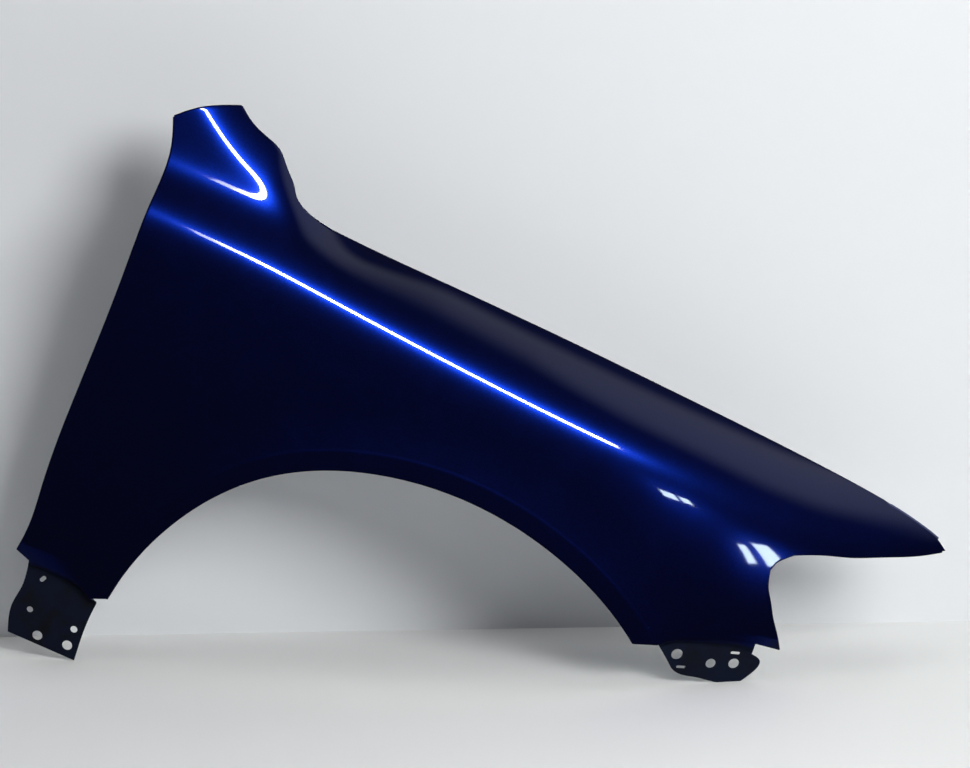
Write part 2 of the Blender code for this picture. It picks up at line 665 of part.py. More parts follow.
def paint_material():
    """Dark blue coated steel."""
    paint = bpy.data.materials.new("blue_coated_steel")
    paint.use_nodes = True
    shader = paint.node_tree.nodes["Principled BSDF"]
    shader.inputs["Base Color"].default_value = (0.005, 0.012, 0.20, 1.0)
    shader.inputs["Metallic"].default_value = 0.6
    shader.inputs["Roughness"].default_value = 0.35
    return paint


def build_cutters(holes, home):
    """One wire object of closed cutters for each group of holes."""
    groups = {}
    for name, centre, turn, width, travel, spin in holes:
        mesh = groups.setdefault(name, bmesh.new())
        slot_cutter(mesh, centre + frame_shift(), turn, width, travel, spin)
    cutters = []
    for name, mesh in groups.items():
        bmesh.ops.recalc_face_normals(mesh, faces=mesh.faces[:])
        cutter = mesh_object(name, mesh, home)
        cutter.hide_render = True
        cutter.display_type = "WIRE"
        cutters.append(cutter)
    return cutters


def build_panel(home, cutter_home):
    """Whole pressed panel: skin, flanges, tabs, sheet thickness and holes."""
    mesh = bmesh.new()
    grid, normals = make_skin(mesh)
    add_edge_returns(mesh, grid, normals)
    lip = [vert.co.copy() for vert in add_arch_lip(mesh, grid, normals)]
    rail = add_hood_rail(mesh, grid, normals)
    outer = []
    for vert in rail:
        behind = [e.other_vert(vert).co.copy() for e in vert.link_edges if e.other_vert(vert) not in rail]
        outer.append(behind[0])
    rail_rows = (outer, [vert.co.copy() for vert in rail])
    add_tabs(mesh, grid)
    bmesh.ops.recalc_face_normals(mesh, faces=mesh.faces[:])
    mesh.normal_update()
    centre = grid[MAIN_COLUMNS // 2, MID_ROW]
    if centre.link_faces[0].normal.y > 0.0:
        bmesh.ops.reverse_faces(mesh, faces=mesh.faces[:])
    bmesh.ops.translate(mesh, verts=mesh.verts[:], vec=frame_shift())
    panel = mesh_object("fender_panel", mesh, home)
    panel.data.materials.append(paint_material())
    sheet = panel.modifiers.new("sheet", "SOLIDIFY")
    sheet.thickness = SHEET
    sheet.offset = -1.0
    sheet.use_even_offset = True
    sheet.use_quality_normals = True
    for cutter in build_cutters(hole_list() + rail_holes(rail_rows) + lip_holes(lip), cutter_home):
        cut = panel.modifiers.new(cutter.name, "BOOLEAN")
        cut.operation = "DIFFERENCE"
        cut.solver = "EXACT"
        cut.object = cutter
    return panel


def new_collection(name):
    """Collection linked to the scene."""
    group = bpy.data.collections.new(name)
    bpy.context.scene.collection.children.link(group)
    return group


def main():
    """Build the fender."""
    for thing in list(bpy.data.objects):
        bpy.data.objects.remove(thing, do_unlink=True)
    build_panel(new_collection("car_fender"), new_collection("cutters"))


main()
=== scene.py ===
# %% [markdown]
# # A car front fender, dressed for its photograph
# The part is the right-hand front fender of a car: one sheet of steel, pressed
# into shape, folded at its edges and painted a deep metallic blue. The packed
# solid gives its place and size. This lesson builds the same panel again as a
# much finer sheet, so that the lamps draw clean lines on its paint.

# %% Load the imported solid
import math

import bmesh
import bpy
import numpy as np
from mathutils import Matrix, Vector


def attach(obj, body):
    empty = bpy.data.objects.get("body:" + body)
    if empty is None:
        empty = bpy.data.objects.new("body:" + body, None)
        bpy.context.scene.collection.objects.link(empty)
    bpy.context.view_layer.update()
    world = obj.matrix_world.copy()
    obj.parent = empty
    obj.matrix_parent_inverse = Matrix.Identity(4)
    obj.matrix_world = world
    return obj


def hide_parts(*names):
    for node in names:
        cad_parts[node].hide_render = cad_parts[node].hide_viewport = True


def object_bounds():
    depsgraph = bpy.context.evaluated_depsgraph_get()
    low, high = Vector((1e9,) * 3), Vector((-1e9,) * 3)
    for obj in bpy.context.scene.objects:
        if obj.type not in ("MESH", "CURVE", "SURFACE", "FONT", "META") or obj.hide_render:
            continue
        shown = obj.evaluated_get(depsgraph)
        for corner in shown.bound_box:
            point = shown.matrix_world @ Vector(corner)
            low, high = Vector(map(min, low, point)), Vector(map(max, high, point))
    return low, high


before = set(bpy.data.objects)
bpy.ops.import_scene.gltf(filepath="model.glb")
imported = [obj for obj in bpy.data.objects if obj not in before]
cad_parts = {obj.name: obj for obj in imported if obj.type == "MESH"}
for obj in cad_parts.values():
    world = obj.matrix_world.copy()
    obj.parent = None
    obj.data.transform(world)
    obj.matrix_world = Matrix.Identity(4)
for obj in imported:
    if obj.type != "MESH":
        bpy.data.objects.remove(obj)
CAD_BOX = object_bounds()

print("solid from", [round(v, 4) for v in CAD_BOX[0]], "to", [round(v, 4) for v in CAD_BOX[1]])

# %% [markdown]
# ## How fine the sheet is
# A gloss paint shows every facet as a kink in its reflections. The solid has
# about seven thousand triangles, which is right for contact but not for gloss.
# The same curves are read here at several times as many stations, and each
# fold gets more steps, because the eye reads a fold by the light along it.

# %% Fineness of the grid and of the folds
FINE = 6
BEND_STEPS = 5
TAB_STEPS = 3
JOGGLE_STEPS = 6
SMOOTH_LIMIT = math.radians(32.0)
CORNER_REACH = 0.009
print("stations per solid station:", FINE)

# %% [markdown]
# ## The sizes of the panel
# All lengths are in metres, from the centre of the wheel: X forward, Y towards
# the middle of the car, Z up. Heights of the outlines are measured in the draw
# plane of the press tool, which leans back by the draw tilt, because that is
# the plane in which such a panel is laid out and trimmed.

# %% Sheet, folds and frame
SHEET = 0.0008
BEND_RADIUS = 0.002
DRAW_TILT = math.radians(18.0)

# Frame: the inner face of the sill tab, clear of its holes, in wheel axes
FRAME_X = -0.412
FRAME_Z = 0.038
print("sheet of", SHEET * 1000, "mm, folds of", BEND_RADIUS * 1000, "mm")

# %% [markdown]
# ## The outline
# The outline was read off the photograph along the edges of the panel: the
# round of the wheel arch, the sill corner, the door edge, the horn that runs up
# beside the windscreen, the hood edge, the nose and the lamp cut-out. Each
# stretch is a few points with a smooth curve through them, so that one point
# can be mended without disturbing the rest.

# %% Outline of the trimmed skin
# Wheel arch: radii in the draw plane from the rear end to the front end
ARCH_REAR_ANGLE = math.radians(167.1)
ARCH_FRONT_ANGLE = math.radians(44.7)
ARCH_RADII = (0.3641, 0.3655, 0.3645, 0.3540, 0.3468, 0.3480, 0.3585)
FLARE_WIDTH = 0.028
FLARE_RAISE = 0.005
FLARE_SWEEP = 0.050
FLARE_EDGE = 0.005
SWEEP_RAISE_SHARE = 0.55
BAND_RAISE_SHARE = 0.70

# Lower edge of the skin, draw plane, rear to front
SILL_CORNER = (-0.480, 0.100)
SILL_TAB_LINE = (
    (-0.461, 0.092), (-0.430, 0.092), (-0.405, 0.090), (-0.386, 0.081), (-0.375, 0.074),
)
FRONT_TAB_LINE = ((0.285, 0.261), (0.292, 0.268), (0.325, 0.282), (0.363, 0.294), (0.397, 0.299))
FRONT_CORNER = (0.431, 0.301)

# Headlamp cut-out, from the front corner up to the notch and on to the nose
LAMP_SIDE = (
    FRONT_CORNER, (0.418, 0.321), (0.406, 0.337), (0.395, 0.355), (0.386, 0.369), (0.379, 0.391),
)
LAMP_NOTCH = ((0.379, 0.391), (0.382, 0.400), (0.390, 0.409), (0.400, 0.417))
NOSE_TOP = (0.563, 0.501)
NOSE_DROP = 0.017
NOSE_REACH = 0.025
NOSE_TIP = (NOSE_TOP[0] + NOSE_REACH, NOSE_TOP[1] - NOSE_DROP)
LAMP_TOP = (
    (0.400, 0.417), (0.436, 0.429), (0.469, 0.437), (0.504, 0.449), (0.556, 0.468), NOSE_TIP,
)

# Door edge, horn top, horn side and hood edge
HORN_REAR = (-0.4576, 0.6500)
HORN_FRONT = (-0.3882, 0.6912)
HOOD_REAR = (-0.2448, 0.5929)
DOOR_EDGE = (
    SILL_CORNER, (-0.473, 0.136), (-0.471, 0.185), (-0.461, 0.324), (-0.451, 0.435),
    (-0.447, 0.503), (-0.445, 0.555), (-0.4457, 0.5886), (-0.4486, 0.6177), HORN_REAR,
)
HORN_TOP = (HORN_REAR, (-0.4400, 0.6638), (-0.4108, 0.6812), HORN_FRONT)
HORN_SIDE = (
    HORN_FRONT, (-0.3693, 0.6759), (-0.3430, 0.6645), (-0.3304, 0.6584), (-0.3138, 0.6398),
    (-0.3010, 0.6255), (-0.2921, 0.6122), (-0.2774, 0.6022), HOOD_REAR,
)
HOOD_EDGE = (
    HOOD_REAR, (-0.176, 0.5862), (-0.106, 0.5805), (0.034, 0.569), (0.176, 0.5553), (0.322, 0.5403),
    (0.434, 0.527), (0.489, 0.5185), (0.526, 0.511), NOSE_TOP,
)
print("arch about", round(2.0 * ARCH_RADII[3], 3), "m across")

# %% [markdown]
# ## The lines inside the panel
# Three lines run from the door to the nose: the middle of the side, the crest
# where the side turns into the top, and the ridge of the horn. They place the
# rows of the grid, so that the rows lie along the forms that they draw.

# %% Guide lines
MID_LINE = ((-0.461, 0.330), (-0.300, 0.378), (0.0, 0.412), (0.262, 0.410), (0.379, 0.391))
CREST_LINE = (
    (-0.470, 0.542), (-0.300, 0.527), (-0.150, 0.5055), (0.0, 0.485), (0.160, 0.467),
    (0.300, 0.457), (0.430, 0.455), (0.590, 0.484),
)
RIDGE_LINE = (
    (-0.456, 0.718), (-0.4045, 0.6753), (-0.3735, 0.6545), (-0.3313, 0.6330), (-0.302, 0.6140),
    (-0.2735, 0.5930), (-0.243, 0.579), (-0.120, 0.556), (0.100, 0.548),
)
MID_STATIONS = (-0.461, -0.385, 0.262, 0.379)
CREST_STATIONS = (-0.446, -0.392, -0.250, 0.250, 0.3725)
NOSE_CREST_SHARE = 0.44
HOOD_STATIONS = (HOOD_REAR[0], 0.235, 0.365, 0.400, NOSE_TOP[0])
DOOR_ROW_HEIGHTS = (0.130, 0.330, 0.541)
print("guide lines:", len(CREST_LINE), "points along the crest")

# %% [markdown]
# ## The form
# The form is a set of plain curves that are added up: the plan curve that
# sweeps the front round towards the nose, the slight barrel of the side, the
# tight shoulder, the flatter top, the valley under the horn, its ridge, and
# the flare round the wheel. Each has a radius or a width of its own.

# %% Radii and widths of the form
PLAN_FRONT_START = 0.020
PLAN_FRONT_RADIUS = 0.900
PLAN_REAR_START = -0.200
PLAN_REAR_RADIUS = 4.0
BARREL_RADIUS = 3.5
CREST_ROUND = 0.011
CREST_ROUND_FRONT = 0.022
CREST_FADE = (0.120, 0.380)
TOP_SLOPE_SHARE = 0.95
CROWN_START = 0.012
CROWN_ROUND = 0.010
CROWN_RADIUS = 0.111
CROWN_FADE = (-0.330, -0.080)
VALLEY_OFFSET = 0.053
VALLEY_ROUND = 0.010
VALLEY_SLOPE_SHARE = 0.80
VALLEY_FADE = (-0.345, -0.195)
RIDGE_ROUND = 0.016
RIDGE_FOOT = 0.020
RIDGE_FOOT_ROUND = 0.008
RIDGE_FOOT_SHARE = 0.46
RIDGE_SLOPE_SHARE = 0.90
RIDGE_FADE = (-0.280, -0.080)
print("shoulder rounded over", CREST_ROUND * 1000, "to", CREST_ROUND_FRONT * 1000, "mm")

# %% [markdown]
# ## Curve helpers
# A natural spline gives a smooth line through a few points. It bends as little
# as it can between them, as a thin wooden lath does when it is held by pins.

# %% Smooth line through points
def natural_spline(knots, values, at):
    """Cubic through the values at the knots, with straight ends."""
    t = np.asarray(knots, float)
    y = np.asarray(values, float)
    n = len(t)
    h = np.diff(t)
    rows = np.eye(n)
    right = np.zeros((n,) + y.shape[1:])
    for k in range(1, n - 1):
        rows[k, k - 1] = h[k - 1]
        rows[k, k] = 2.0 * (h[k - 1] + h[k])
        rows[k, k + 1] = h[k]
        right[k] = 6.0 * ((y[k + 1] - y[k]) / h[k] - (y[k] - y[k - 1]) / h[k - 1])
    bend = np.linalg.solve(rows, right)
    x = np.asarray(at, float)
    k = np.clip(np.searchsorted(t, x) - 1, 0, n - 2)
    a = (t[k + 1] - x) / h[k]
    b = (x - t[k]) / h[k]
    if y.ndim > 1:
        a = a[:, None]
        b = b[:, None]
        span = h[k][:, None]
    else:
        span = h[k]
    inside = a * y[k] + b * y[k + 1]
    return inside + ((a ** 3 - a) * bend[k] + (b ** 3 - b) * bend[k + 1]) * span ** 2 / 6.0


print("half way along a bent line:", natural_spline((0.0, 1.0, 2.0), (0.0, 1.0, 0.0), 0.5).round(4))

# %% Lines and tracks
def line_height(points, x):
    """Height of a guide line at X."""
    table = np.array(points)
    return natural_spline(table[:, 0], table[:, 1], np.clip(x, table[0, 0], table[-1, 0]))


def track(points, steps):
    """Points spaced evenly along a smooth track, both ends included."""
    table = np.array(points)
    reach = np.concatenate(([0.0], np.cumsum(np.linalg.norm(np.diff(table, axis=0), axis=1))))
    return natural_spline(reach, table, np.linspace(0.0, reach[-1], steps + 1))


def joined(tracks):
    """One row of points from tracks that meet end to end."""
    rows = [tracks[0]]
    for piece in tracks[1:]:
        rows.append(piece[1:])
    return np.vstack(rows)


print("mid height of the crest:", round(float(line_height(CREST_LINE, 0.0)), 4))

# %% Soft steps
def fade(x, limits):
    """Smooth rise from nought to one between two limits."""
    share = np.clip((x - limits[0]) / (limits[1] - limits[0]), 0.0, 1.0)
    return share * share * (3.0 - 2.0 * share)


def soft_rise(t, width):
    """Distance past a line, rounded off over the width."""
    return width * np.logaddexp(0.0, t / width)


print("a soft rise at its line:", round(float(soft_rise(0.0, CREST_ROUND)) * 1000, 2), "mm")

# %% [markdown]
# ## From the draw plane to the body
# Every point of the draw plane gets its set-back from the widest line of the
# body. The normal comes from the same formula, so that the folds start square
# to the skin everywhere.

# %% Flare round the wheel arch
def arch_radius(angle):
    """Wheel arch radius at an angle in the draw plane."""
    knots = np.linspace(-ARCH_REAR_ANGLE, -ARCH_FRONT_ANGLE, len(ARCH_RADII))
    return natural_spline(knots, ARCH_RADII, np.clip(-angle, knots[0], knots[-1]))


def flare(x, v):
    """Outward sweep of the skin to the flat band round the wheel arch."""
    past = np.hypot(x, v) - arch_radius(np.arctan2(v, x)) - FLARE_WIDTH
    sweep = np.clip(1.0 - past / FLARE_SWEEP, 0.0, 1.0) ** 2
    band = fade(past, (-FLARE_EDGE, 0.0))
    return FLARE_RAISE * (SWEEP_RAISE_SHARE * sweep * band + BAND_RAISE_SHARE * (1.0 - band))


print("flare at the arch edge:", round(float(flare(0.0, ARCH_RADII[3])) * 1000, 2), "mm")

# %% Set-back of the skin
def set_back(x, v):
    """Distance inboard of the widest line of the body."""
    front = np.clip(x - PLAN_FRONT_START, 0.0, None) ** 2 / (2.0 * PLAN_FRONT_RADIUS)
    rear = np.clip(PLAN_REAR_START - x, 0.0, None) ** 2 / (2.0 * PLAN_REAR_RADIUS)
    above = v - line_height(CREST_LINE, x)
    barrel = np.clip(-above, 0.0, None) ** 2 / (2.0 * BARREL_RADIUS)
    width = CREST_ROUND + (CREST_ROUND_FRONT - CREST_ROUND) * fade(x, CREST_FADE)
    top = TOP_SLOPE_SHARE * soft_rise(above, width)
    crown = soft_rise(above - CROWN_START, CROWN_ROUND) ** 2 / (2.0 * CROWN_RADIUS)
    hollow = VALLEY_SLOPE_SHARE * soft_rise(above - VALLEY_OFFSET, VALLEY_ROUND)
    past_ridge = v - line_height(RIDGE_LINE, x)
    foot = RIDGE_FOOT_SHARE * soft_rise(past_ridge + RIDGE_FOOT, RIDGE_FOOT_ROUND)
    rest = RIDGE_FOOT * RIDGE_FOOT_SHARE / (1.0 - RIDGE_FOOT_SHARE)
    brow = (1.0 - RIDGE_FOOT_SHARE) * soft_rise(past_ridge - rest, RIDGE_ROUND)
    ridge = RIDGE_SLOPE_SHARE * (foot + brow)
    return (
        front + rear + barrel + top + crown * fade(x, CROWN_FADE) - flare(x, v)
        - hollow * (1.0 - fade(x, VALLEY_FADE)) + ridge * (1.0 - fade(x, RIDGE_FADE))
    )


print("set-back of the nose:", round(float(set_back(NOSE_TIP[0], NOSE_TIP[1])), 4))

# %% Points and normals of the skin
NORMAL_STEP_SHARE = 0.05


def car_point(x, v):
    """Draw-plane points as car-axis points from the wheel centre."""
    y = set_back(x, v)
    return np.stack((x, y, v / math.cos(DRAW_TILT) - y * math.tan(DRAW_TILT)), axis=-1)


def inward_normal(x, v):
    """Unit normal of the skin, pointing into the car."""
    step = BEND_RADIUS * NORMAL_STEP_SHARE
    along = car_point(x + step, v) - car_point(x - step, v)
    up = car_point(x, v + step) - car_point(x, v - step)
    normal = np.cross(up, along)
    normal /= np.linalg.norm(normal, axis=-1, keepdims=True)
    return normal


print("nose tip at", car_point(*NOSE_TIP).round(3))

# %% [markdown]
# ## Tracks round the edge
# The outline is walked once round as tracks with fixed numbers of stations.
# The flat skin ends one fold radius inside the outline, because the fold
# itself reaches the rest of the way.

# %% Stations of the grid
# Columns per stretch of the outline, and row shares between the guides
LOWER_COLUMNS = (1, 5, 1, 26, 2, 5, 2)
MAIN_COLUMNS = sum(LOWER_COLUMNS)
HORN_COLUMNS = (8, 8)
HOOD_COLUMNS = (17, 9, 3, 6)
NOSE_COLUMNS = (3, 6)
ALL_COLUMNS = MAIN_COLUMNS + sum(NOSE_COLUMNS)
LOW_SHARES = (0.33, 0.67, 1.0)
SIDE_SHARES = (0.15, 0.34, 0.55, 0.77, 1.0)
SHOULDER_SHARES = (0.25, 0.50, 0.72, 0.88, 1.0)
TOP_SHARES = (0.10, 0.21, 0.35, 0.50, 0.67, 0.84, 1.0)
FLARE_ROW = len(LOW_SHARES)
MID_ROW = FLARE_ROW + len(SIDE_SHARES)
CREST_ROW = MID_ROW + len(SHOULDER_SHARES)
ALL_ROWS = CREST_ROW + len(TOP_SHARES)
SIDE_FADE_COLUMNS = 6
FLARE_REAR_COLUMNS = 4
FLARE_FRONT_COLUMNS = 2

# Last places of the grid and of its parts
LAST_COLUMN = ALL_COLUMNS * FINE
LAST_ROW = ALL_ROWS * FINE
MAIN_END = MAIN_COLUMNS * FINE
MID_END = MID_ROW * FINE
print("grid of", LAST_COLUMN, "by", LAST_ROW)

# %% Tracks along the outline
def lower_track():
    """Lower edge from the sill corner to the front corner."""
    angle = np.linspace(ARCH_REAR_ANGLE, ARCH_FRONT_ANGLE, LOWER_COLUMNS[3] * FINE + 1)
    radius = arch_radius(angle)
    arch = np.stack((radius * np.cos(angle), radius * np.sin(angle)), axis=-1)
    return joined((
        track((SILL_CORNER, SILL_TAB_LINE[0]), LOWER_COLUMNS[0] * FINE),
        track(SILL_TAB_LINE, LOWER_COLUMNS[1] * FINE),
        track((SILL_TAB_LINE[-1], tuple(arch[0])), LOWER_COLUMNS[2] * FINE),
        arch,
        track((tuple(arch[-1]), FRONT_TAB_LINE[0]), LOWER_COLUMNS[4] * FINE),
        track(FRONT_TAB_LINE, LOWER_COLUMNS[5] * FINE),
        track((FRONT_TAB_LINE[-1], FRONT_CORNER), LOWER_COLUMNS[6] * FINE),
    ))


def upper_track():
    """Upper edge from the rear of the horn to the nose."""
    columns = np.concatenate(([0], np.cumsum(HOOD_COLUMNS))) * FINE
    x = np.interp(np.arange(columns[-1] + 1), columns, HOOD_STATIONS)
    hood = np.stack((x, line_height(HOOD_EDGE, x)), axis=-1)
    top = track(HORN_TOP, HORN_COLUMNS[0] * FINE)
    return joined((top, track(HORN_SIDE, HORN_COLUMNS[1] * FINE), hood))


def row_levels():
    """Row positions as guide number plus share of the way to the next guide."""
    stretches = enumerate((LOW_SHARES, SIDE_SHARES, SHOULDER_SHARES, TOP_SHARES))
    levels = [0.0] + [guide + share for guide, shares in stretches for share in shares]
    rows = np.arange(len(levels))
    return np.interp(np.arange(LAST_ROW + 1) / FINE, rows, levels)


def door_track():
    """Door edge points, one for each row."""
    heights = (SILL_CORNER[1],) + DOOR_ROW_HEIGHTS + (HORN_REAR[1],)
    v = np.interp(row_levels(), range(len(heights)), heights)
    table = np.array(DOOR_EDGE)
    return np.stack((natural_spline(table[:, 1], table[:, 0], v), v), axis=-1)


print("rows from the sill to the hood edge:", len(row_levels()))

# %% Setting in and easing
SHARPEST_SHARE = 0.40


def inset_loop(points, distance):
    """Closed loop of points moved to its left by a distance."""
    after = np.roll(points, -1, axis=0) - points
    before = points - np.roll(points, 1, axis=0)
    after /= np.linalg.norm(after, axis=1, keepdims=True)
    before /= np.linalg.norm(before, axis=1, keepdims=True)
    along = after + before
    along /= np.linalg.norm(along, axis=1, keepdims=True)
    spread = np.clip((along * after).sum(axis=1), SHARPEST_SHARE, 1.0)
    left = np.stack((-along[:, 1], along[:, 0]), axis=-1)
    return points + left * (distance / spread)[:, None]


def eased_ends(side):
    """Space the places near both ends of a track evenly again."""
    for way in (1, -1):
        run = side[::way]
        reach = np.cumsum(np.linalg.norm(np.diff(run, axis=0), axis=1))
        last = 1 + int(np.searchsorted(reach, CORNER_REACH))
        run[:last + 1] = np.linspace(run[0], run[last], last + 1)
    return side


sharpest = 2.0 * math.degrees(math.asin(SHARPEST_SHARE))
print("corners are set in as if no sharper than", round(sharpest), "degrees")

# %% The edge of the flat skin
NOSE_EAR = (0.008, -0.003)


def outline():
    """Boundary of the flat skin: the outline set in by the bend radius."""
    pieces = (
        lower_track(),
        track(LAMP_SIDE, MID_END),
        joined((track(LAMP_NOTCH, NOSE_COLUMNS[0] * FINE), track(LAMP_TOP, NOSE_COLUMNS[1] * FINE))),
        track((NOSE_TIP, NOSE_TOP), LAST_ROW - MID_END),
        upper_track()[::-1],
        door_track()[::-1],
    )
    loop = inset_loop(np.vstack([piece[:-1] for piece in pieces]), BEND_RADIUS)
    loop = np.vstack((loop, loop[:1]))
    sides = []
    start = 0
    for piece in pieces:
        sides.append(eased_ends(loop[start:start + len(piece)].copy()))
        start += len(piece) - 1
    sides[3] = np.linspace(sides[3][0], sides[3][-1], len(sides[3]))
    sides[3][-1] += NOSE_EAR
    sides[4][0] = sides[3][-1]
    sides[4] = sides[4][::-1]
    sides[5] = sides[5][::-1]
    return sides


print("outline tracks:", len(outline()))

# %% [markdown]
# ## Filling the outline
# Rows are laid between the guides, and the columns near each side are eased
# over so that they meet it. A grid like this has no poles and no triangles,
# which keeps the light on it smooth.

# %% Rows and sides
def flare_guide(lower):
    """Row along the inner edge of the flare band."""
    column = np.arange(len(lower)) / FINE
    first = sum(LOWER_COLUMNS[:3])
    last = sum(LOWER_COLUMNS[:4])
    from_rear = fade(column, (first, first + FLARE_REAR_COLUMNS))
    to_front = fade(column, (last - FLARE_FRONT_COLUMNS, last + FLARE_FRONT_COLUMNS))
    radial = from_rear * (1.0 - to_front)
    out = lower / np.linalg.norm(lower, axis=1, keepdims=True)
    way = out * radial[:, None] + np.array((0.0, 1.0)) * (1.0 - radial[:, None])
    way /= np.linalg.norm(way, axis=1, keepdims=True)
    return lower + way * FLARE_WIDTH


def guide_row(points, stations, columns):
    """Row of points along a guide line at given stations."""
    x = np.interp(np.arange(MAIN_END + 1) / FINE, columns, stations)
    return np.stack((x, line_height(points, x)), axis=-1)


def blend_side(grid, column, target, rows, step):
    """Shift the columns near one side so that the side meets its target."""
    gap = target - grid[column, rows]
    reach = SIDE_FADE_COLUMNS * FINE
    for k in range(reach):
        grid[column + step * k, rows] += gap * (1.0 - k / reach)


print("columns eased over at each side:", SIDE_FADE_COLUMNS * FINE)

# %% Places of the grid
def skin_grid():
    """Draw-plane position of every grid point of the skin."""
    lower, lamp_side, lamp_top, nose, upper, door = outline()
    first = HORN_COLUMNS[0]
    corner = first + HORN_COLUMNS[1]
    arch_end = corner + HOOD_COLUMNS[0]
    middle = guide_row(MID_LINE, MID_STATIONS, (0, first, arch_end, MAIN_COLUMNS))
    middle = np.vstack((middle[:-1], lamp_top))
    crest = guide_row(CREST_LINE, CREST_STATIONS, (0, first, corner, arch_end, MAIN_COLUMNS))
    nose_crest = lamp_top * (1.0 - NOSE_CREST_SHARE) + upper[MAIN_END:] * NOSE_CREST_SHARE
    crest = np.vstack((crest[:-1], nose_crest))
    spare = np.repeat(lamp_top[:1], LAST_COLUMN - MAIN_END, axis=0)
    below_lamp = [np.vstack((row, spare)) for row in (lower, flare_guide(lower))]
    guides = np.stack((*below_lamp, middle, crest, upper))
    levels = row_levels()
    below = np.minimum(levels.astype(int), len(guides) - 2)
    share = (levels - below)[:, None, None]
    grid = (guides[below] * (1.0 - share) + guides[below + 1] * share).transpose(1, 0, 2)
    every = np.arange(LAST_ROW + 1)
    blend_side(grid, 0, door, every, 1)
    blend_side(grid, MAIN_END, lamp_side, every[:MID_END + 1], -1)
    blend_side(grid, LAST_COLUMN, nose, every[MID_END:], -1)
    return grid


print("grid places:", skin_grid().shape)

# %% [markdown]
# ## Laying the skin
# The skin starts as Blender's own flat grid. Each of its corners is then moved
# to its place on the body, and the block below the nose, where the lamp goes,
# is taken out. Moving a grid keeps its order, so the rim is found by counting.

# %% Lay the skin
def lay_skin(sheet):
    """Grid moved onto the body; returns its corners and its normals."""
    made = bmesh.ops.create_grid(sheet, x_segments=LAST_COLUMN, y_segments=LAST_ROW, size=1.0)
    place = skin_grid()
    points = car_point(place[..., 0], place[..., 1])
    grid = {}
    for vert in made["verts"]:
        column = round((vert.co.x + 1.0) / 2.0 * LAST_COLUMN)
        row = round((vert.co.y + 1.0) / 2.0 * LAST_ROW)
        grid[column, row] = vert
    for (column, row), vert in grid.items():
        vert.co = points[column, row]
    lamp = [grid[c, r] for c in range(MAIN_END + 1, LAST_COLUMN + 1) for r in range(MID_END)]
    bmesh.ops.delete(sheet, geom=lamp, context="VERTS")
    return grid, inward_normal(place[..., 0], place[..., 1])


panel_mesh = bmesh.new()
skin, skin_normals = lay_skin(panel_mesh)
print("skin corners:", len(panel_mesh.verts))

# %% [markdown]
# ## Folding the edges
# A pressed edge is never raw: it is folded in round a small radius and then
# runs straight. Each fold extrudes the rim a few times and swings every new
# row a little further, so the fold is a true arc across its whole length.

# %% Sizes of the folded edges
ARCH_LIP = 0.014
DOOR_RETURN = 0.010
HORN_RETURN = 0.009
LAMP_RETURN = 0.011
HOOD_DROP = 0.028
NOSE_RETURN = 0.005
TAPER_COLUMNS = 4
RAIL_WIDTH = 0.020
RAIL_END_SHARES = (0.4, 0.7)
print("arch lip", ARCH_LIP * 1000, "mm, hood rail", RAIL_WIDTH * 1000, "mm")

# %% Rim helpers
def extrude_chain(sheet, chain):
    """Extrude the edges along a chain of corners; returns the new chain."""
    edges = [sheet.edges.get(pair) for pair in zip(chain, chain[1:])]
    made = bmesh.ops.extrude_edge_only(sheet, edges=edges)
    fresh = {item for item in made["geom"] if isinstance(item, bmesh.types.BMVert)}
    result = []
    for vert in chain:
        ends = (edge.other_vert(vert) for edge in vert.link_edges)
        result.append(next(end for end in ends if end in fresh))
    return result


def outward_ways(chain, inner, normals):
    """Direction out of the skin at each corner of a rim chain."""
    ways = []
    for k, vert in enumerate(chain):
        ahead = chain[min(k + 1, len(chain) - 1)].co - chain[max(k - 1, 0)].co
        way = ahead.cross(normals[k]).normalized()
        if way.dot(vert.co - inner[k].co) < 0.0:
            way = -way
        ways.append(way)
    return ways


def chain_of(places):
    """Corners, inner neighbours and normals for rim places."""
    chain = [skin[place[:2]] for place in places]
    inner = [skin[place[2:]] for place in places]
    facing = [Vector(skin_normals[place[0], place[1]]) for place in places]
    return chain, inner, facing


print("rim helpers ready")

# %% Turned flange
def turn_flange(sheet, chain, inner, normals, widths, target=None):
    """Fold a flange in from a rim chain round the bend radius."""
    ways = outward_ways(chain, inner, normals)
    starts = [vert.co.copy() for vert in chain]
    angles = []
    for way, normal in zip(ways, normals):
        goal = normal if target is None else target
        angles.append(math.atan2(goal.dot(normal), goal.dot(way)))
    row = chain
    for step in range(1, BEND_STEPS + 1):
        row = extrude_chain(sheet, row)
        for k, vert in enumerate(row):
            turn = angles[k] * step / BEND_STEPS
            swing = ways[k] * math.sin(turn) + normals[k] * (1.0 - math.cos(turn))
            vert.co = starts[k] + swing * BEND_RADIUS
    row = extrude_chain(sheet, row)
    for k, vert in enumerate(row):
        run = ways[k] * math.cos(angles[k]) + normals[k] * math.sin(angles[k])
        vert.co += run * (widths[k] - BEND_RADIUS)
    return row


print("fold of", BEND_STEPS, "steps over", BEND_RADIUS * 1000, "mm")

# %% Door, horn and lamp edges
door_rim = [(0, r, 1, r) for r in range(LAST_ROW + 1)]
turn_flange(panel_mesh, *chain_of(door_rim), [DOOR_RETURN] * len(door_rim))

horn_end = HORN_COLUMNS[0] * FINE
horn_rim = [(c, LAST_ROW, c, LAST_ROW - 1) for c in range(horn_end + 1)]
turn_flange(panel_mesh, *chain_of(horn_rim), [HORN_RETURN] * len(horn_rim))

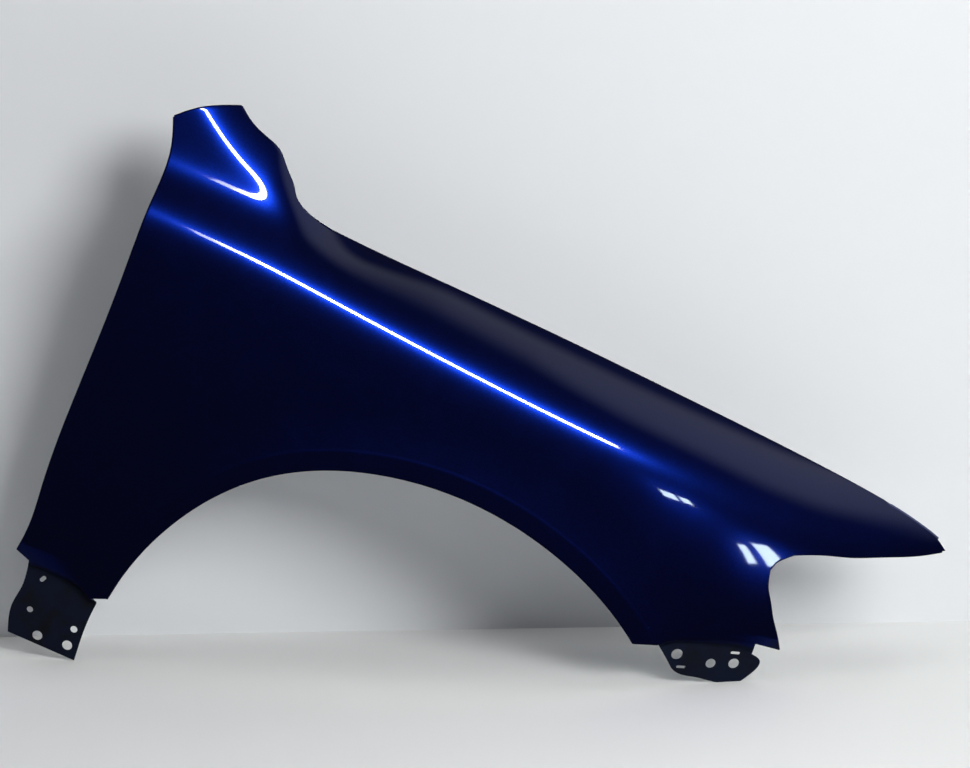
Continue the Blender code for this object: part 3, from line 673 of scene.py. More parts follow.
lamp_rim = [(MAIN_END, r, MAIN_END - 1, r) for r in range(MID_END)]
lamp_rim.append((MAIN_END, MID_END, MAIN_END - 1, MID_END + 1))
lamp_rim += [(c, MID_END, c, MID_END + 1) for c in range(MAIN_END + 1, LAST_COLUMN)]
taper = TAPER_COLUMNS * FINE
lamp_widths = []
for k in range(len(lamp_rim)):
    share = min(len(lamp_rim) - 1 - k, taper) / taper
    lamp_widths.append(NOSE_RETURN + (LAMP_RETURN - NOSE_RETURN) * share)
turn_flange(panel_mesh, *chain_of(lamp_rim), lamp_widths)
print("folded rims:", len(door_rim), len(horn_rim), len(lamp_rim))

# %% [markdown]
# ## The wheel arch lip
# Round the wheel the lip is not square to the skin. It points straight at the
# middle of the car all the way round, so that the tyre passes it evenly.

# %% Wheel arch lip
arch_start = sum(LOWER_COLUMNS[:3]) * FINE
arch_stop = sum(LOWER_COLUMNS[:5]) * FINE
arch_rim = [(c, 0, c, 1) for c in range(arch_start, arch_stop + 1)]
arch_lip = turn_flange(
    panel_mesh, *chain_of(arch_rim), [ARCH_LIP] * len(arch_rim), Vector((0.0, 1.0, 0.0))
)
arch_lip = [vert.co.copy() for vert in arch_lip]
print("arch lip stations:", len(arch_lip))

# %% [markdown]
# ## The hood rail
# Along the hood the skin drops straight down into the gutter and then turns
# in, and the bolts that hold the fender go through that rail. The drop fades
# out towards the horn and the nose, where there is no room for it.

# %% Drop wall under the hood edge
rail_bend = (HORN_COLUMNS[0] + HORN_COLUMNS[1]) * FINE
hood_rim = [(c, LAST_ROW, c, LAST_ROW - 1) for c in range(horn_end, LAST_COLUMN + 1)]
hood_widths = []
for column in range(horn_end, LAST_COLUMN + 1):
    rise = min(max((column - rail_bend) / taper, 0.0), 1.0)
    fall = min((LAST_COLUMN - column) / taper, 1.0)
    behind = HORN_RETURN + (HOOD_DROP - HORN_RETURN) * rise
    hood_widths.append(NOSE_RETURN + (behind - NOSE_RETURN) * fall)
hood_wall = turn_flange(panel_mesh, *chain_of(hood_rim), hood_widths, Vector((0.0, 0.0, -1.0)))
rail_row = hood_wall[rail_bend - horn_end + taper:-taper]
print("hood edge stations:", len(hood_rim))

# %% Rail at the foot of the drop wall
def fold_rail(sheet, row):
    """Turn the foot of the wall inboard round the bend radius."""
    count = len(row) - 1
    place = [min(k, count - k) / FINE for k in range(count + 1)]
    full = len(RAIL_END_SHARES)
    shares = np.interp(place, range(full + 1), RAIL_END_SHARES + (1.0,))
    corners = [vert.co.copy() for vert in row]
    for vert in row:
        vert.co.z += BEND_RADIUS
    for step in range(1, BEND_STEPS + 1):
        turn = math.pi / 2.0 * step / BEND_STEPS
        row = extrude_chain(sheet, row)
        for k, vert in enumerate(row):
            lift = BEND_RADIUS * (1.0 - math.sin(turn))
            run = BEND_RADIUS * (1.0 - math.cos(turn))
            vert.co = corners[k] + Vector((0.0, run, lift))
    row = extrude_chain(sheet, row)
    for k, vert in enumerate(row):
        vert.co = corners[k] + Vector((0.0, RAIL_WIDTH * shares[k], 0.0))
    return corners, [vert.co.copy() for vert in row]


rail_rows = fold_rail(panel_mesh, rail_row)
print("rail from X", round(rail_rows[0][0].x, 3), "to", round(rail_rows[0][-1].x, 3))

# %% [markdown]
# ## The two tabs
# Below the sill corner and below the front corner the sheet steps in by a
# joggle and runs on as a drilled tab. The joggle is an S-shaped curve that
# leaves the skin along it and arrives along the tab, as a press would draw it.

# %% Sizes of the tabs
# Planes and outlines, from the wheel centre
SILL_TAB_Y = 0.043
SILL_TAB_LEFT = ((-0.4605, 0.072), (-0.4605, 0.050), (-0.4660, 0.022), (-0.4610, -0.0155))
SILL_TAB_RIGHT = ((-0.3680, 0.060), (-0.3712, 0.036), (-0.3728, 0.009), (-0.3728, -0.0217))
FRONT_TAB_X = 0.290
FRONT_TAB_Y = 0.052
FRONT_TAB_YAW = math.radians(18.62)
FRONT_TAB_LEFT = ((0.2870, 0.2570), (0.2990, 0.2450), (0.3110, 0.2325))
FRONT_TAB_BASE = (
    (0.3110, 0.2325), (0.3160, 0.2295), (0.3440, 0.2275), (0.3710, 0.2270), (0.3950, 0.2310),
)
FRONT_TAB_RIGHT = ((0.3980, 0.2730), (0.4090, 0.2690), (0.3950, 0.2310))
JOGGLE_RUN = 0.006
TAB_ROWS = 5
print("step of the sheet into a tab:", JOGGLE_RUN * 1000, "mm")

# %% Joggle
def joggle(sheet, row, ends, ways, drops):
    """Draw rows from the rim to the top of a tab along an S-shaped curve."""
    starts = [vert.co.copy() for vert in row]
    for step in range(1, JOGGLE_STEPS + 1):
        t = step / JOGGLE_STEPS
        row = extrude_chain(sheet, row)
        for k, vert in enumerate(row):
            span = (ends[k] - starts[k]).length
            vert.co = (
                starts[k] * (1.0 + t * t * (2.0 * t - 3.0)) + ends[k] * (t * t * (3.0 - 2.0 * t))
                + ways[k] * (span * t * (1.0 - t) ** 2) - drops[k] * (span * t * t * (1.0 - t))
            )
    return row


print("joggle of", JOGGLE_STEPS, "steps")

# %% Tab below a rim
def add_tab(sheet, places, left, right, base, place):
    """Joggle and tab below a rim chain, its rows running from side to side."""
    row, inner, facing = chain_of(places)
    ways = outward_ways(row, inner, facing)
    count = len(row) - 1
    line = np.linspace(np.array(left[0]), np.array(right[0]), count + 1)
    top = line.copy()
    for k, vert in enumerate(row):
        reach = min(k, count - k, FINE) / FINE
        high = min(vert.co.z - JOGGLE_RUN, line[k, 1] + JOGGLE_RUN)
        top[k, 1] += (high - line[k, 1]) * reach
    steps = TAB_ROWS * TAB_STEPS
    sides = (track(left, steps), track(right, steps))
    foot = track(base, count)
    ends = [place(*point) for point in top]
    drops = [(place(*foot[k]) - ends[k]).normalized() for k in range(count + 1)]
    row = joggle(sheet, row, ends, ways, drops)
    for step in range(1, steps + 1):
        share = step / steps
        row = extrude_chain(sheet, row)
        for k, vert in enumerate(row):
            across = k / count
            point = top[k] * (1.0 - share) + foot[k] * share
            for end, weight in ((0, 1.0 - across), (-1, across)):
                straight = top[end] * (1.0 - share) + foot[end] * share
                point = point + (sides[end][step] - straight) * weight
            vert.co = place(*point)


print("tab rows:", TAB_ROWS * TAB_STEPS)

# %% Draw the two tabs
def sill_tab_point(x, z):
    """Point on the sill tab plane."""
    return Vector((x, SILL_TAB_Y, z))


def front_tab_point(x, z):
    """Point on the front tab plane."""
    return Vector((x, FRONT_TAB_Y + math.tan(FRONT_TAB_YAW) * (x - FRONT_TAB_X), z))


first = LOWER_COLUMNS[0] * FINE
sill_rim = [(c, 0, c, 1) for c in range(first, first + LOWER_COLUMNS[1] * FINE + 1)]
sill_base = (SILL_TAB_LEFT[-1], SILL_TAB_RIGHT[-1])
add_tab(panel_mesh, sill_rim, SILL_TAB_LEFT, SILL_TAB_RIGHT, sill_base, sill_tab_point)
first = sum(LOWER_COLUMNS[:5]) * FINE
front_rim = [(c, 0, c, 1) for c in range(first, first + LOWER_COLUMNS[5] * FINE + 1)]
add_tab(panel_mesh, front_rim, FRONT_TAB_LEFT, FRONT_TAB_RIGHT, FRONT_TAB_BASE, front_tab_point)
print("sheet faces before thickness:", len(panel_mesh.faces))

# %% [markdown]
# ## Thickness
# The sheet has been drawn by its outer face. The normals are turned outward
# first, and then the Solidify modifier gives the sheet its thickness inward,
# so that the outside stays where it was drawn.

# %% Object helpers
TO_FRAME = Vector((-FRAME_X, -(SILL_TAB_Y + SHEET), -FRAME_Z))


def from_wheel(x, y, z):
    """Point given from the wheel centre, in the frame of the part."""
    return Vector((x, y, z)) + TO_FRAME


def mesh_object(name, mesh):
    """Finish a bmesh as an object of the scene."""
    data = bpy.data.meshes.new(name)
    mesh.to_mesh(data)
    mesh.free()
    thing = bpy.data.objects.new(name, data)
    bpy.context.scene.collection.objects.link(thing)
    return thing


def flat_copy(thing, name):
    """New object with the modifiers of the first worked into its mesh."""
    graph = bpy.context.evaluated_depsgraph_get()
    data = bpy.data.meshes.new_from_object(thing.evaluated_get(graph))
    data.name = name
    bpy.data.objects.remove(thing)
    result = bpy.data.objects.new(name, data)
    bpy.context.scene.collection.objects.link(result)
    return result


print("from the wheel centre to the frame:", [round(v, 4) for v in TO_FRAME])

# %% Turn the sheet outward and give it its thickness
bmesh.ops.recalc_face_normals(panel_mesh, faces=panel_mesh.faces[:])
panel_mesh.normal_update()
if skin[MAIN_END // 2, MID_END].link_faces[0].normal.y > 0.0:
    bmesh.ops.reverse_faces(panel_mesh, faces=panel_mesh.faces[:])
bmesh.ops.translate(panel_mesh, verts=panel_mesh.verts[:], vec=TO_FRAME)
sheet = mesh_object("sheet", panel_mesh)
for side in ("outer", "inner"):
    sheet.data.materials.append(None)
thickness = sheet.modifiers.new("thickness", "SOLIDIFY")
thickness.thickness = SHEET
thickness.offset = -1.0
thickness.use_even_offset = False
thickness.use_quality_normals = True
thickness.material_offset = 1
thickness.material_offset_rim = 0
print("drawn by the outer face, thickness inward:", SHEET * 1000, "mm")

# %% [markdown]
# ## Holes
# The tabs, the rail and the arch lip are punched. Each punch is a round or
# slotted cutter that passes through the sheet, and one Boolean takes all of
# them away at once.

# %% Sizes of the holes
# Holes in the tabs: centre X, centre Z, diameter
SILL_TAB_HOLES = (
    (-0.4431, 0.0229, 0.0078), (-0.3805, 0.0550, 0.0086), (-0.3845, 0.0177, 0.0088),
    (-0.4250, -0.0068, 0.0124), (-0.3865, -0.0056, 0.0126),
)
SILL_TAB_SLOT = (-0.4388, 0.0672)
SILL_SLOT_WIDTH = 0.0052
SILL_SLOT_TRAVEL = 0.0042
SILL_SLOT_TURN = math.radians(60.0)
FRONT_TAB_HOLES = ((0.3110, 0.2520, 0.0140), (0.3545, 0.2496, 0.0124), (0.3815, 0.2560, 0.0132))
FRONT_TAB_SLOTS = ((0.3215, 0.2368), (0.3784, 0.2700))
FRONT_SLOT_WIDTH = 0.0038
FRONT_SLOT_TRAVEL = 0.0080
FRONT_SLOT_TURN = math.radians(8.0)

# Rail slots along the hood edge and screw holes round the wheel arch
RAIL_SLOT_STATIONS = (-0.100, 0.060, 0.230, 0.400)
RAIL_SLOT_WIDTH = 0.0085
RAIL_SLOT_TRAVEL = 0.0060
LIP_HOLE_SHARES = (0.08, 0.27, 0.46, 0.65, 0.86)
LIP_HOLE = 0.0060
CUT_REACH = 0.012
HOLE_SIDES = 40
print("holes in the sill tab:", len(SILL_TAB_HOLES), "round and one slot")

# %% Punch helper
def punch(mesh, centre, turn, width, travel=0.0, spin=0.0):
    """Closed cutter for a round hole or a slot, its axis along local Z."""
    made = bmesh.ops.create_circle(mesh, cap_ends=True, segments=HOLE_SIDES, radius=width / 2.0)
    verts = made["verts"]
    for vert in verts:
        vert.co.x += math.copysign(travel / 2.0, vert.co.x)
    faces = list({face for vert in verts for face in vert.link_faces})
    grown = bmesh.ops.extrude_face_region(mesh, geom=faces)
    upper = [item for item in grown["geom"] if isinstance(item, bmesh.types.BMVert)]
    bmesh.ops.translate(mesh, verts=upper, vec=(0.0, 0.0, CUT_REACH))
    both = verts + upper
    bmesh.ops.translate(mesh, verts=both, vec=(0.0, 0.0, -CUT_REACH / 2.0))
    place = Matrix.Translation(centre + TO_FRAME) @ turn @ Matrix.Rotation(spin, 4, "Z")
    bmesh.ops.transform(mesh, matrix=place, verts=both)


print("round punches have", HOLE_SIDES, "sides")

# %% Punch the holes
cutters = bmesh.new()
aim = Matrix.Rotation(math.pi / 2.0, 4, "X")
for x, z, width in SILL_TAB_HOLES:
    punch(cutters, sill_tab_point(x, z), aim, width)
slot_centre = sill_tab_point(*SILL_TAB_SLOT)
punch(cutters, slot_centre, aim, SILL_SLOT_WIDTH, SILL_SLOT_TRAVEL, SILL_SLOT_TURN)
front_aim = Matrix.Rotation(FRONT_TAB_YAW, 4, "Z") @ aim
for x, z, width in FRONT_TAB_HOLES:
    punch(cutters, front_tab_point(x, z), front_aim, width)
for x, z in FRONT_TAB_SLOTS:
    slot_centre = front_tab_point(x, z)
    punch(cutters, slot_centre, front_aim, FRONT_SLOT_WIDTH, FRONT_SLOT_TRAVEL, FRONT_SLOT_TURN)
for x in RAIL_SLOT_STATIONS:
    xs = [co.x for co in rail_rows[0]]
    y = np.interp(x, xs, [(a.y + b.y) / 2.0 for a, b in zip(*rail_rows)])
    z = np.interp(x, xs, [co.z for co in rail_rows[0]])
    punch(cutters, Vector((x, y, z)), Matrix(), RAIL_SLOT_WIDTH, RAIL_SLOT_TRAVEL)
for share in LIP_HOLE_SHARES:
    centre = arch_lip[round(share * (len(arch_lip) - 1))] + Vector((0.0, -ARCH_LIP / 2.0, 0.0))
    lip_aim = Matrix.Rotation(math.atan2(centre.x, centre.z), 4, "Y")
    punch(cutters, centre, lip_aim, LIP_HOLE)
bmesh.ops.recalc_face_normals(cutters, faces=cutters.faces[:])
punches = mesh_object("punches", cutters)
holes = sheet.modifiers.new("holes", "BOOLEAN")
holes.operation = "DIFFERENCE"
holes.solver = "FAST"
holes.object = punches
panel = flat_copy(sheet, "pressed_panel")
bpy.data.objects.remove(punches)
print("panel:", len(panel.data.vertices), "corners,", len(panel.data.polygons), "faces")

# %% [markdown]
# ## Smooth and sharp
# All faces are shaded smooth, and the edges that turn by more than a set angle
# are marked sharp: those are the cut edges of the sheet and of its holes.

# %% Shade the panel
shading = bmesh.new()
shading.from_mesh(panel.data)
for face in shading.faces:
    face.smooth = True
sharp = 0
for edge in shading.edges:
    turn = edge.calc_face_angle(0.0) if len(edge.link_faces) == 2 else math.pi
    edge.smooth = turn < SMOOTH_LIMIT
    sharp += not edge.smooth
open_edges = sum(len(edge.link_faces) != 2 for edge in shading.edges)
print("sharp edges:", sharp, "open edges:", open_edges)
print("volume:", round(shading.calc_volume() * 1e6, 1), "cm3")
shading.to_mesh(panel.data)
shading.free()

# %% [markdown]
# ## Paint
# The finish is a car paint in two coats: a base coat with fine metal flakes,
# which gives a wide blue sheen, and a clear coat that mirrors the lamps
# sharply. Each flake has a tone of its own, and the clear coat has a faint
# waviness, called orange peel, that bends the edges of its reflections. Hands
# and cloths have left soft smears. Each effect is a node group, built once.

# %% Node helpers
def new_group(name, inputs, output):
    """Empty node group with a place, its other inputs and one output."""
    group = bpy.data.node_groups.new(name, "ShaderNodeTree")
    sockets = group.interface
    sockets.new_socket("Place", in_out="INPUT", socket_type="NodeSocketVector")
    for label, value in inputs.items():
        kind = "NodeSocketFloat" if isinstance(value, float) else "NodeSocketColor"
        sockets.new_socket(label, in_out="INPUT", socket_type=kind).default_value = value
    kind = "NodeSocketColor" if output == "Color" else "NodeSocketFloat"
    sockets.new_socket(output, in_out="OUTPUT", socket_type=kind)
    return group, group.nodes.new("NodeGroupInput"), group.nodes.new("NodeGroupOutput")


def add_node(tree, kind, settings=None, values=None):
    """Node with its settings and the values of its sockets."""
    node = tree.nodes.new("ShaderNode" + kind)
    for key, value in (settings or {}).items():
        setattr(node, key, value)
    for key, value in (values or {}).items():
        node.inputs[key].default_value = value
    return node


def wire(tree, *links):
    """Links, each given as a node, its output, another node and its input."""
    for source, output, target, entry in links:
        tree.links.new(source.outputs[output], target.inputs[entry])


print("node helpers ready")

# %% Orange peel of the clear coat
PEEL_SCALE = 140.0
peel, peel_in, peel_out = new_group("orange_peel", {"Scale": PEEL_SCALE}, "Height")
waves = add_node(peel, "TexNoise", None, {"Detail": 1.5, "Roughness": 0.45})
wire(
    peel, (peel_in, "Place", waves, "Vector"), (peel_in, "Scale", waves, "Scale"),
    (waves, "Fac", peel_out, "Height"),
)
print("orange peel at", PEEL_SCALE, "waves per metre")

# %% Metal flakes of the base coat
FLAKE_SCALE = 1400.0
BLUE_LIGHT = (0.0009, 0.0092, 0.130, 1.0)
BLUE_DARK = (0.0007, 0.0055, 0.080, 1.0)

flake_values = {"Scale": FLAKE_SCALE, "Dark": BLUE_DARK, "Light": BLUE_LIGHT}
flakes, flakes_in, flakes_out = new_group("metal_flakes", flake_values, "Color")
cells = add_node(flakes, "TexVoronoi")
split = add_node(flakes, "SeparateColor")
toned = add_node(flakes, "Mix", {"data_type": "RGBA"})
wire(
    flakes, (flakes_in, "Place", cells, "Vector"), (flakes_in, "Scale", cells, "Scale"),
    (cells, "Color", split, "Color"), (split, "Red", toned, "Factor"),
    (flakes_in, "Dark", toned, "A"), (flakes_in, "Light", toned, "B"),
    (toned, "Result", flakes_out, "Color"),
)
print("flakes at", FLAKE_SCALE, "per metre")

# %% Handling marks
SMEAR_SCALE = 26.0
marks, marks_in, marks_out = new_group(
    "handling_marks", {"Scale": SMEAR_SCALE, "Amount": 1.0}, "Mask"
)
cloud = add_node(
    marks, "TexNoise", None, {"Detail": 6.0, "Roughness": 0.62, "Distortion": 0.6}
)
level = add_node(
    marks, "MapRange", {"interpolation_type": "SMOOTHSTEP"}, {"From Min": 0.42, "From Max": 0.70}
)
amount = add_node(marks, "Math", {"operation": "MULTIPLY"})
wire(
    marks, (marks_in, "Place", cloud, "Vector"), (marks_in, "Scale", cloud, "Scale"),
    (cloud, "Fac", level, "Value"), (level, "Result", amount, 0),
    (marks_in, "Amount", amount, 1), (amount, 0, marks_out, "Mask"),
)
print("groups:", [group.name for group in bpy.data.node_groups])

# %% [markdown]
# ## Where the paint is dull
# The tabs hide behind the sill and the bumper, so they get no clear coat. A
# number on every corner of the mesh says how far it is on a tab, and the paint
# fades from gloss to dull by it.

# %% Mark the tabs on the mesh
SILL_TAB_BLUR = (0.002, 0.012)
FRONT_TAB_BLUR = (0.002, 0.008)
PAST_TAB_WEIGHT = 10.0


def mark_tabs(data):
    """Corner attribute: one on the tabs, nought on the skin."""
    places = np.empty(len(data.vertices) * 3, np.float32)
    data.vertices.foreach_get("co", places)
    places = places.reshape(-1, 3) - np.array(TO_FRAME)
    x, y, z = places.T
    past_sill = np.clip(x - SILL_TAB_RIGHT[0][0] - FLARE_WIDTH, 0.0, None)
    sill_off = np.abs(y - SILL_TAB_Y) + PAST_TAB_WEIGHT * past_sill
    front_plane = FRONT_TAB_Y + math.tan(FRONT_TAB_YAW) * (x - FRONT_TAB_X)
    past_front = np.clip(FRONT_TAB_X - FLARE_WIDTH - x, 0.0, None)
    front_off = np.abs(y - front_plane) + PAST_TAB_WEIGHT * past_front
    sill = (z < SILL_CORNER[1] + JOGGLE_RUN) * (1.0 - fade(sill_off, SILL_TAB_BLUR))
    front = (z < FRONT_CORNER[1]) * (1.0 - fade(front_off, FRONT_TAB_BLUR))
    mask = np.maximum(sill * (x < 0.0), front * (x > 0.0)).astype(np.float32)
    attribute = data.attributes.new("on_tab", "FLOAT", "POINT")
    attribute.data.foreach_set("value", mask)
    return mask


tab_mask = mark_tabs(panel.data)
print("corners on the tabs:", int((tab_mask > 0.5).sum()))

# %% [markdown]
# ## The outer paint
# Metallic is high, because what is seen through the clear coat is aluminium
# flake. The blue is dark and saturated: only where a lamp is near the mirror
# angle does it light up, and elsewhere it falls away to near black. On the
# tabs a thin dull coat takes its place.

# %% Material helpers
def start_material(name):
    """Material with its tree, its shader and the object coordinates."""
    made = bpy.data.materials.new(name)
    made.use_nodes = True
    tree = made.node_tree
    coords = tree.nodes.new("ShaderNodeTexCoord")
    return made, tree, tree.nodes["Principled BSDF"], coords.outputs["Object"]


def use_group(tree, group, place, values):
    """Node that uses a group, fed with the place and its own values."""
    node = add_node(tree, "Group", {"node_tree": group}, values)
    tree.links.new(place, node.inputs["Place"])
    return node


def mixed(tree, kind, factor, first, second):
    """Mix node between two values or colours; a socket is linked in."""
    node = add_node(tree, "Mix", {"data_type": kind})
    sockets = {"RGBA": (0, 6, 7, 2), "FLOAT": (0, 2, 3, 0)}[kind]
    for index, value in zip(sockets, (factor, first, second)):
        if isinstance(value, bpy.types.NodeSocket):
            tree.links.new(value, node.inputs[index])
        else:
            node.inputs[index].default_value = value
    return node.outputs[sockets[3]]


def add_bump(tree, shader, wave, strength, depth, normals):
    """Bump from a height that feeds the named normals of the shader."""
    bump = add_node(tree, "Bump", None, {"Strength": strength, "Distance": depth})
    wire(tree, (wave, "Height", bump, "Height"))
    for name in normals:
        wire(tree, (bump, "Normal", shader, name))


print("material helpers ready")

# %% Outer paint
TAB_BLUE = (0.0015, 0.0050, 0.0200, 1.0)
TAB_GREY = (0.0030, 0.0034, 0.0060, 1.0)

# Values on the skin and on the tabs
METAL = (1.0, 0.10)
COAT = (1.0, 0.04)

# Roughness of the base coat, clean and smeared, of the tabs, of the clear coat
SKIN_ROUGH = (0.335, 0.355)
TAB_ROUGH = 0.62
COAT_ROUGH = 0.06
COAT_IOR = 1.5
BASE_SPECULAR = 0.12
PEEL_DEPTH = 0.000003

paint, tree, shader, place = start_material("deep_blue_metallic")
flake = use_group(tree, flakes, place, flake_values)
wave = use_group(tree, peel, place, {"Scale": PEEL_SCALE})
smear = use_group(tree, marks, place, {"Scale": SMEAR_SCALE}).outputs["Mask"]
on_tab = add_node(tree, "Attribute", {"attribute_name": "on_tab"}).outputs["Fac"]
tab_colour = mixed(tree, "RGBA", smear, TAB_BLUE, TAB_GREY)
skin_rough = mixed(tree, "FLOAT", smear, *SKIN_ROUGH)
for name, socket in (
    ("Base Color", mixed(tree, "RGBA", on_tab, flake.outputs["Color"], tab_colour)),
    ("Metallic", mixed(tree, "FLOAT", on_tab, *METAL)),
    ("Roughness", mixed(tree, "FLOAT", on_tab, skin_rough, TAB_ROUGH)),
    ("Coat Weight", mixed(tree, "FLOAT", on_tab, *COAT)),
):
    tree.links.new(socket, shader.inputs[name])
shader.inputs["Specular IOR Level"].default_value = BASE_SPECULAR
shader.inputs["Coat Roughness"].default_value = COAT_ROUGH
shader.inputs["Coat IOR"].default_value = COAT_IOR
add_bump(tree, shader, wave, 1.0, PEEL_DEPTH, ("Normal", "Coat Normal"))
print("outer paint nodes:", len(tree.nodes))

# %% [markdown]
# ## The inside
# Nobody polishes the inside of a fender. It carries the dip primer of the body
# shop with a thin dusting of blue that came round the edges, flat and uneven.

# %% Inner coat
INNER_BLUE = (0.018, 0.032, 0.120, 1.0)
PRIMER = (0.085, 0.092, 0.125, 1.0)
DUSTING = {"Scale": 6.0, "Amount": 0.55}

# Values in the blue dust and on the primer
INNER_ROUGH = (0.44, 0.60)
INNER_METAL = (0.15, 0.0)
GRAIN_SCALE = 900.0
GRAIN_DEPTH = 0.00002
GRAIN_STRENGTH = 0.5

inner, tree, shader, place = start_material("inner_coat")
dusting = use_group(tree, marks, place, DUSTING).outputs["Mask"]
grain = use_group(tree, peel, place, {"Scale": GRAIN_SCALE})
for name, kind, pair in (
    ("Base Color", "RGBA", (INNER_BLUE, PRIMER)), ("Roughness", "FLOAT", INNER_ROUGH),
    ("Metallic", "FLOAT", INNER_METAL),
):
    tree.links.new(mixed(tree, kind, dusting, *pair), shader.inputs[name])
add_bump(tree, shader, grain, GRAIN_STRENGTH, GRAIN_DEPTH, ("Normal",))
print("inner coat nodes:", len(tree.nodes))

# %% Dress the panel and tie it to the part
panel.data.materials[0] = paint
panel.data.materials[1] = inner
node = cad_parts["fender_panel"]
node.data.materials.clear()
node.data.materials.append(paint)
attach(panel, "root")
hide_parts("fender_panel")
print("materials:", [made.name for made in panel.data.materials])

# %% [markdown]
# ## The camera
# The photograph was taken with the panel leaning against a wall, standing on
# its two tabs. In the frame of the car that makes a camera that looks down a
# little and is rolled over, at nearly three metres with a long lens.

# %% Camera
CAMERA_TILT = math.radians(18.0)
CAMERA_ROLL = math.radians(20.0)
CAMERA_PLACE = Vector((0.3966, -2.6621, 1.3208))
CAMERA_LENS = 89.58
SENSOR_WIDTH = 36.0
CLIP_END = 50.0

ct, st = math.cos(CAMERA_TILT), math.sin(CAMERA_TILT)
cr, sr = math.cos(CAMERA_ROLL), math.sin(CAMERA_ROLL)
to_right = Vector((cr, sr * st, sr * ct))
to_up = Vector((-sr, cr * st, cr * ct))
to_back = Vector((0.0, -ct, st))

lens = bpy.data.cameras.new("camera")
lens.lens = CAMERA_LENS
lens.sensor_width = SENSOR_WIDTH
lens.clip_end = CLIP_END
camera = bpy.data.objects.new("camera", lens)
camera.matrix_world = Matrix((to_right, to_up, to_back)).transposed().to_4x4()
camera.matrix_world.translation = CAMERA_PLACE
bpy.context.scene.collection.objects.link(camera)
bpy.context.scene.camera = camera
panel_middle = (Vector(CAD_BOX[0]) + Vector(CAD_BOX[1])) / 2.0
print("camera", round((CAMERA_PLACE - panel_middle).length, 2), "m from the panel")

# %% [markdown]
# ## Floor and wall
# The floor passes under the two tabs on which the panel stands, and the wall
# rises a little behind it. Both are seen from their front only, so that they
# never stand in the way when the panel is looked at from the other side.

# %% Level of the room
IMAGE_SIZE = (970, 768)
FLOOR_PITCH = math.radians(12.0)
REAR_FOOT = from_wheel(-0.3728, 0.0434, -0.0217)
FRONT_FOOT = from_wheel(0.3710, 0.0793, 0.2270)
WALL_FOOT_PIXELS = ((0.0, 637.0), (970.0, 621.0))

between = FRONT_FOOT - REAR_FOOT
lean = math.atan2(
    -(math.cos(FLOOR_PITCH) * to_up.dot(between) + math.sin(FLOOR_PITCH) * to_back.dot(between)),
    math.cos(FLOOR_PITCH) * to_right.dot(between),
)
level_up = (to_up * math.cos(lean) + to_right * math.sin(lean)) * math.cos(FLOOR_PITCH)
level_up = (level_up + to_back * math.sin(FLOOR_PITCH)).normalized()
level_front = (to_back - level_up * to_back.dot(level_up)).normalized()
level_right = level_up.cross(level_front).normalized()


def on_floor(px, py):
    """Point of the floor behind a pixel of the picture."""
    focal = CAMERA_LENS / SENSOR_WIDTH * IMAGE_SIZE[0]
    across = to_right * ((px - IMAGE_SIZE[0] / 2.0) / focal)
    ray = across - to_up * ((py - IMAGE_SIZE[1] / 2.0) / focal) - to_back
    reach = (REAR_FOOT - CAMERA_PLACE).dot(level_up) / ray.dot(level_up)
    return CAMERA_PLACE + ray * reach


wall_left, wall_right = (on_floor(*pixel) for pixel in WALL_FOOT_PIXELS)
wall_run = (wall_right - wall_left).normalized()
print("wall", round((wall_left - REAR_FOOT).dot(-level_front), 3), "m behind the rear tab")

# %% Stage helpers
def stage_paper(name, base):
    """Plain stage material; its back is clear, and in mirrors its front too."""
    made = bpy.data.materials.new(name)
    made.use_nodes = True
    tree = made.node_tree
    tree.nodes.clear()
    out, clear, pick, side, rays = (
        add_node(tree, kind)
        for kind in ("OutputMaterial", "BsdfTransparent", "MixShader", "NewGeometry", "LightPath")
    )
    face = add_node(tree, "BsdfDiffuse", None, {"Color": base})
    either = add_node(tree, "Math", {"operation": "MAXIMUM"})
    wire(
        tree, (side, "Backfacing", either, 0), (rays, "Is Glossy Ray", either, 1),
        (either, 0, pick, 0), (face, 0, pick, 1), (clear, 0, pick, 2), (pick, 0, out, "Surface"),
    )
    return made


def stage_sheet(name, corner, along, across, facing, colour):
    """Flat stage piece from a corner and two sides."""
    mesh = bmesh.new()
    made = bmesh.ops.create_grid(mesh, x_segments=1, y_segments=1, size=0.5)
    for vert in made["verts"]:
        vert.co = corner + along * (vert.co.x + 0.5) + across * (vert.co.y + 0.5)
    mesh.normal_update()
    if mesh.faces[:][0].normal.dot(facing) < 0.0:
        bmesh.ops.reverse_faces(mesh, faces=mesh.faces[:])
    thing = mesh_object(name, mesh)
    thing.data.materials.append(stage_paper(name + "_paper", colour))


print("level way up:", [round(v, 3) for v in level_up])

# %% Floor and wall
FLOOR_COLOUR = (0.80, 0.81, 0.80, 1.0)
WALL_COLOUR = (0.76, 0.78, 0.80, 1.0)
STAGE_REAR = 1.5
STAGE_LENGTH = 4.2
FLOOR_DEPTH = 1.6
WALL_HEIGHT = 2.6

wall_start = wall_left - wall_run * STAGE_REAR
wall_length = wall_run * STAGE_LENGTH
stage_sheet("floor", wall_start, wall_length, level_front * FLOOR_DEPTH, level_up, FLOOR_COLOUR)
stage_sheet("wall", wall_start, wall_length, level_up * WALL_HEIGHT, level_front, WALL_COLOUR)
print("floor and wall meet behind the panel at", [round(v, 2) for v in wall_left])

# %% [markdown]
# ## Lamps
# Each highlight in the photograph is the picture of a lamp in the paint. The
# place of a lamp follows from the angle of the panel where its picture is
# seen: the ray from the camera is mirrored there and followed out into the
# room. Lamps are set by the radiance of their face, so that a larger lamp
# makes a larger picture of itself, not a brighter one.

# %% Lamp helpers
# Cycles gives the face of a lamp its watts over four times its area
WATTS_PER_RADIANCE = 4.0


